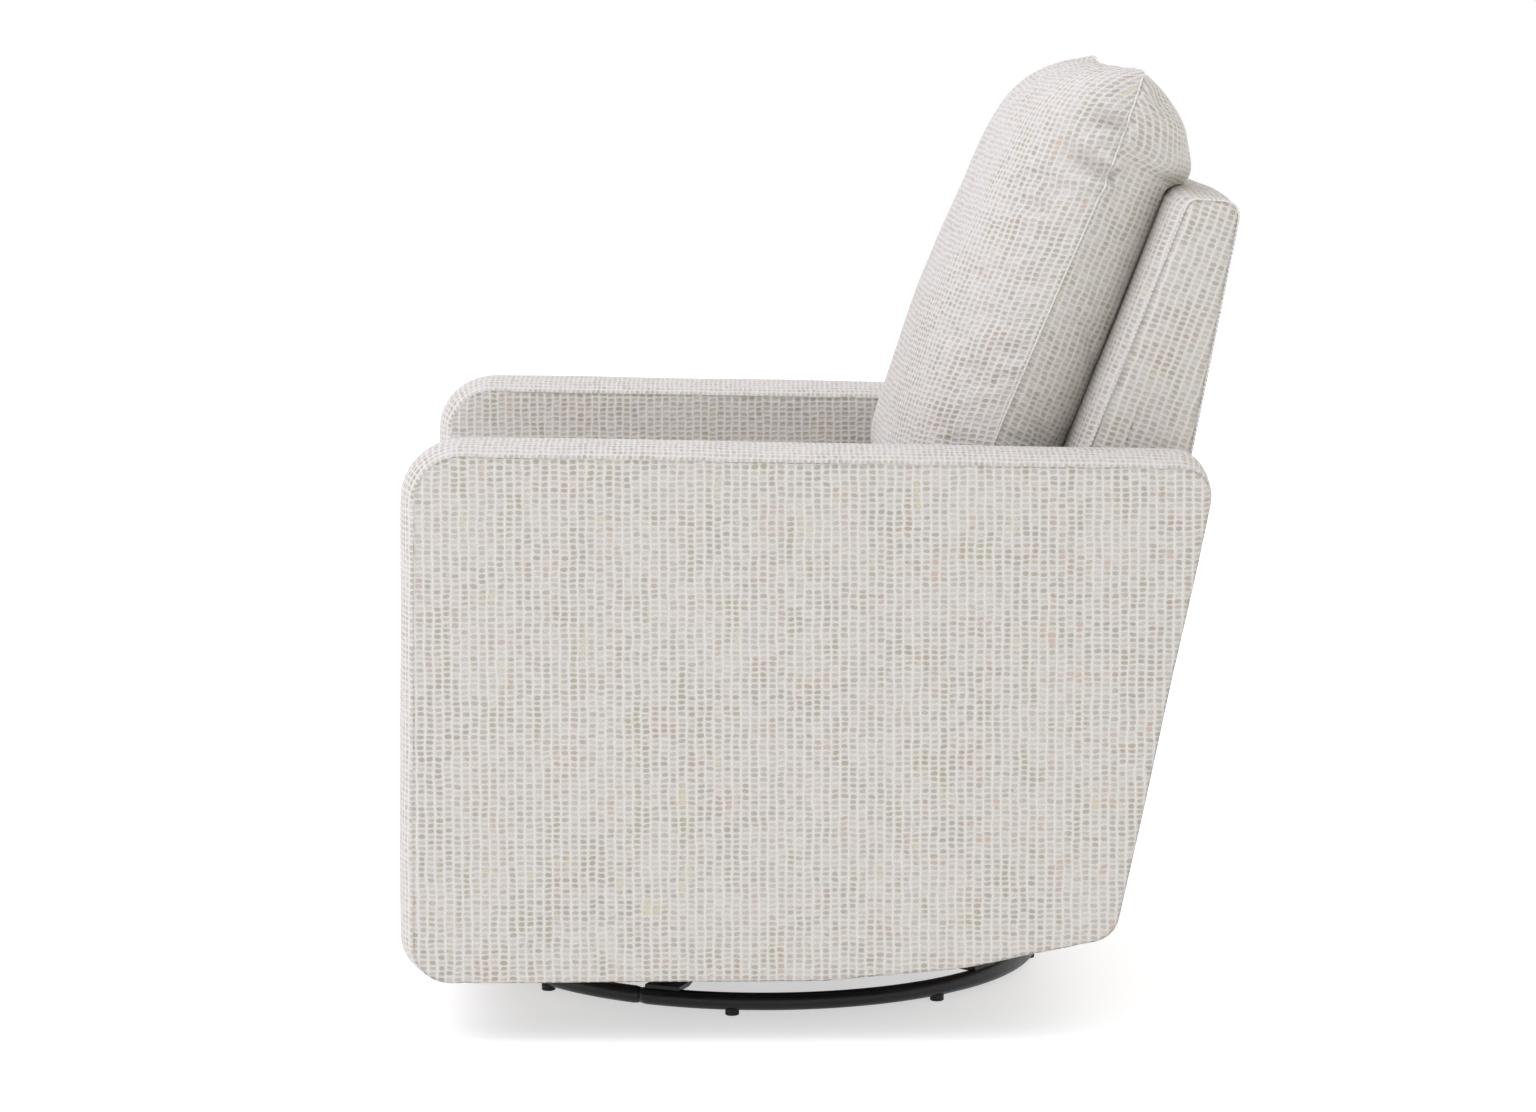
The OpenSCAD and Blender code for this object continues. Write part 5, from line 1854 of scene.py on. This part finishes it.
@dataclass
class DustCloth:
    """Black lining stapled under one arm."""

    side: int
    tag: str
    palette: Palette
    inset: float = 0.012
    front_inset: float = 0.055
    rear_inset: float = 0.040
    thickness: float = 0.0005
    staples: SeamLine = SeamLine(0.026, 0.010, 0.0005)
    columns: int = 12
    rows: int = 84

    def build(self, under: bpy.types.Object) -> None:
        """Lay the lining against the underside of the arm, and staple it a little inside its rim.

        Args:
            under: The arm's pad.
        """
        inner, outer = SIZES.inner_x + self.inset, SIZES.half_w - self.inset
        x0, x1 = (inner, outer) if self.side > 0 else (-outer, -inner)
        y0 = SIZES.arm_low.y + self.front_inset
        y1 = SIZES.rear_y(SIZES.arm_low.z + SIZES.tail_rise) - self.rear_inset
        tree = BVHTree.FromObject(under, bpy.context.evaluated_depsgraph_get())

        def floor_of(x: float, y: float) -> float:
            """Height of the underside of the arm."""
            hit = tree.ray_cast(Vector((x, y, -0.05)), Vector((0, 0, 1)))[0]
            return float(hit.z) if hit is not None else SIZES.arm_low.z

        grid = np.array([[(x, y, floor_of(x, y) - 0.0003) for x in np.linspace(x0, x1, self.columns)]
                         for y in np.linspace(y0, y1, self.rows)])
        through = np.array([0, 0, -self.thickness])
        made, rim = thin_sheet(f"dust_cloth_{self.tag}", grid, through, self.palette.lining)
        attach(made, CHAIR)
        middle = np.array([(rim[:, k].min() + rim[:, k].max()) / 2 for k in (0, 1)])
        half_y = (rim[:, 1].max() - rim[:, 1].min()) / 2
        loop = rim.copy()
        loop[:, :2] = middle + (loop[:, :2] - middle) * (0.90, 1 - 0.007 / half_y)
        attach(self.staples.run(f"staples_{self.tag}", [loop], self.palette.zinc, True), CHAIR)


# ---------------------------------------------------------------- floor, light and camera


def aim(obj: bpy.types.Object, at: Sequence[float], target: Sequence[float]) -> bpy.types.Object:
    """Put a light or a camera somewhere, and turn it towards a target."""
    obj.location = at
    obj.rotation_euler = (Vector(target) - Vector(at)).to_track_quat("-Z", "Y").to_euler()
    return obj


@dataclass
class Studio:
    """Pale floor and backdrop, soft light and the camera."""

    palette: Palette
    eye: Sequence[float] = (4.377, -0.137, 1.026)
    target: Sequence[float] = (0.0, -0.047, 0.431)
    lens: float = 96.85

    def floor(self) -> None:
        """A wide floor plane."""
        points = 14.0 * np.array([(-1, -1, 0), (1, -1, 0), (1, 1, 0), (-1, 1, 0)])
        make_piece("floor", points, [(0, 1, 2, 3)], None, self.palette.floor)

    def light(self, name: str, at: Sequence[float], size: float, power: float, colour: Colour) -> None:
        """A square soft light aimed at the middle of the chair."""
        data = bpy.data.lights.new(name, "AREA")
        data.shape, data.size, data.energy, data.color = "SQUARE", size, power, colour
        aim(placed(name, data), at, (0, -0.05, 0.45))

    def build(self) -> None:
        """Build floor, lights, world and camera."""
        self.floor()
        self.light("window", (1.1, -3.0, 3.1), 2.2, 54, (0.82, 0.80, 1.0))
        self.light("ceiling", (-0.2, -0.8, 3.4), 2.4, 20, (0.76, 0.78, 1.0))
        world = bpy.data.worlds.new("studio")
        world.use_nodes = True
        inputs = world.node_tree.nodes["Background"].inputs
        inputs[0].default_value, inputs[1].default_value = (1.0, 1.0, 1.0, 1.0), 1.0
        scene = bpy.context.scene
        scene.world = world
        scene.view_settings.view_transform = "Standard"
        data = bpy.data.cameras.new("camera")
        data.lens, data.sensor_width, data.clip_end = self.lens, 36.0, 100.0
        scene.camera = aim(placed("camera", data), self.eye, self.target)


def main() -> None:
    """Build the chair piece by piece, then its studio."""
    palette = Palette()
    SwivelBase(palette).build()
    for dressing in DRESSINGS:
        dressing.build(palette)
    SeatSprings(palette).build()
    for side in (1, -1):
        Arm(side, palette).build()
    for maker in (BodyPanels, SeatCushion, BackPillow, Studio):
        maker(palette).build()
    log.info("boxes written")


if __name__ == "__main__":
    main()
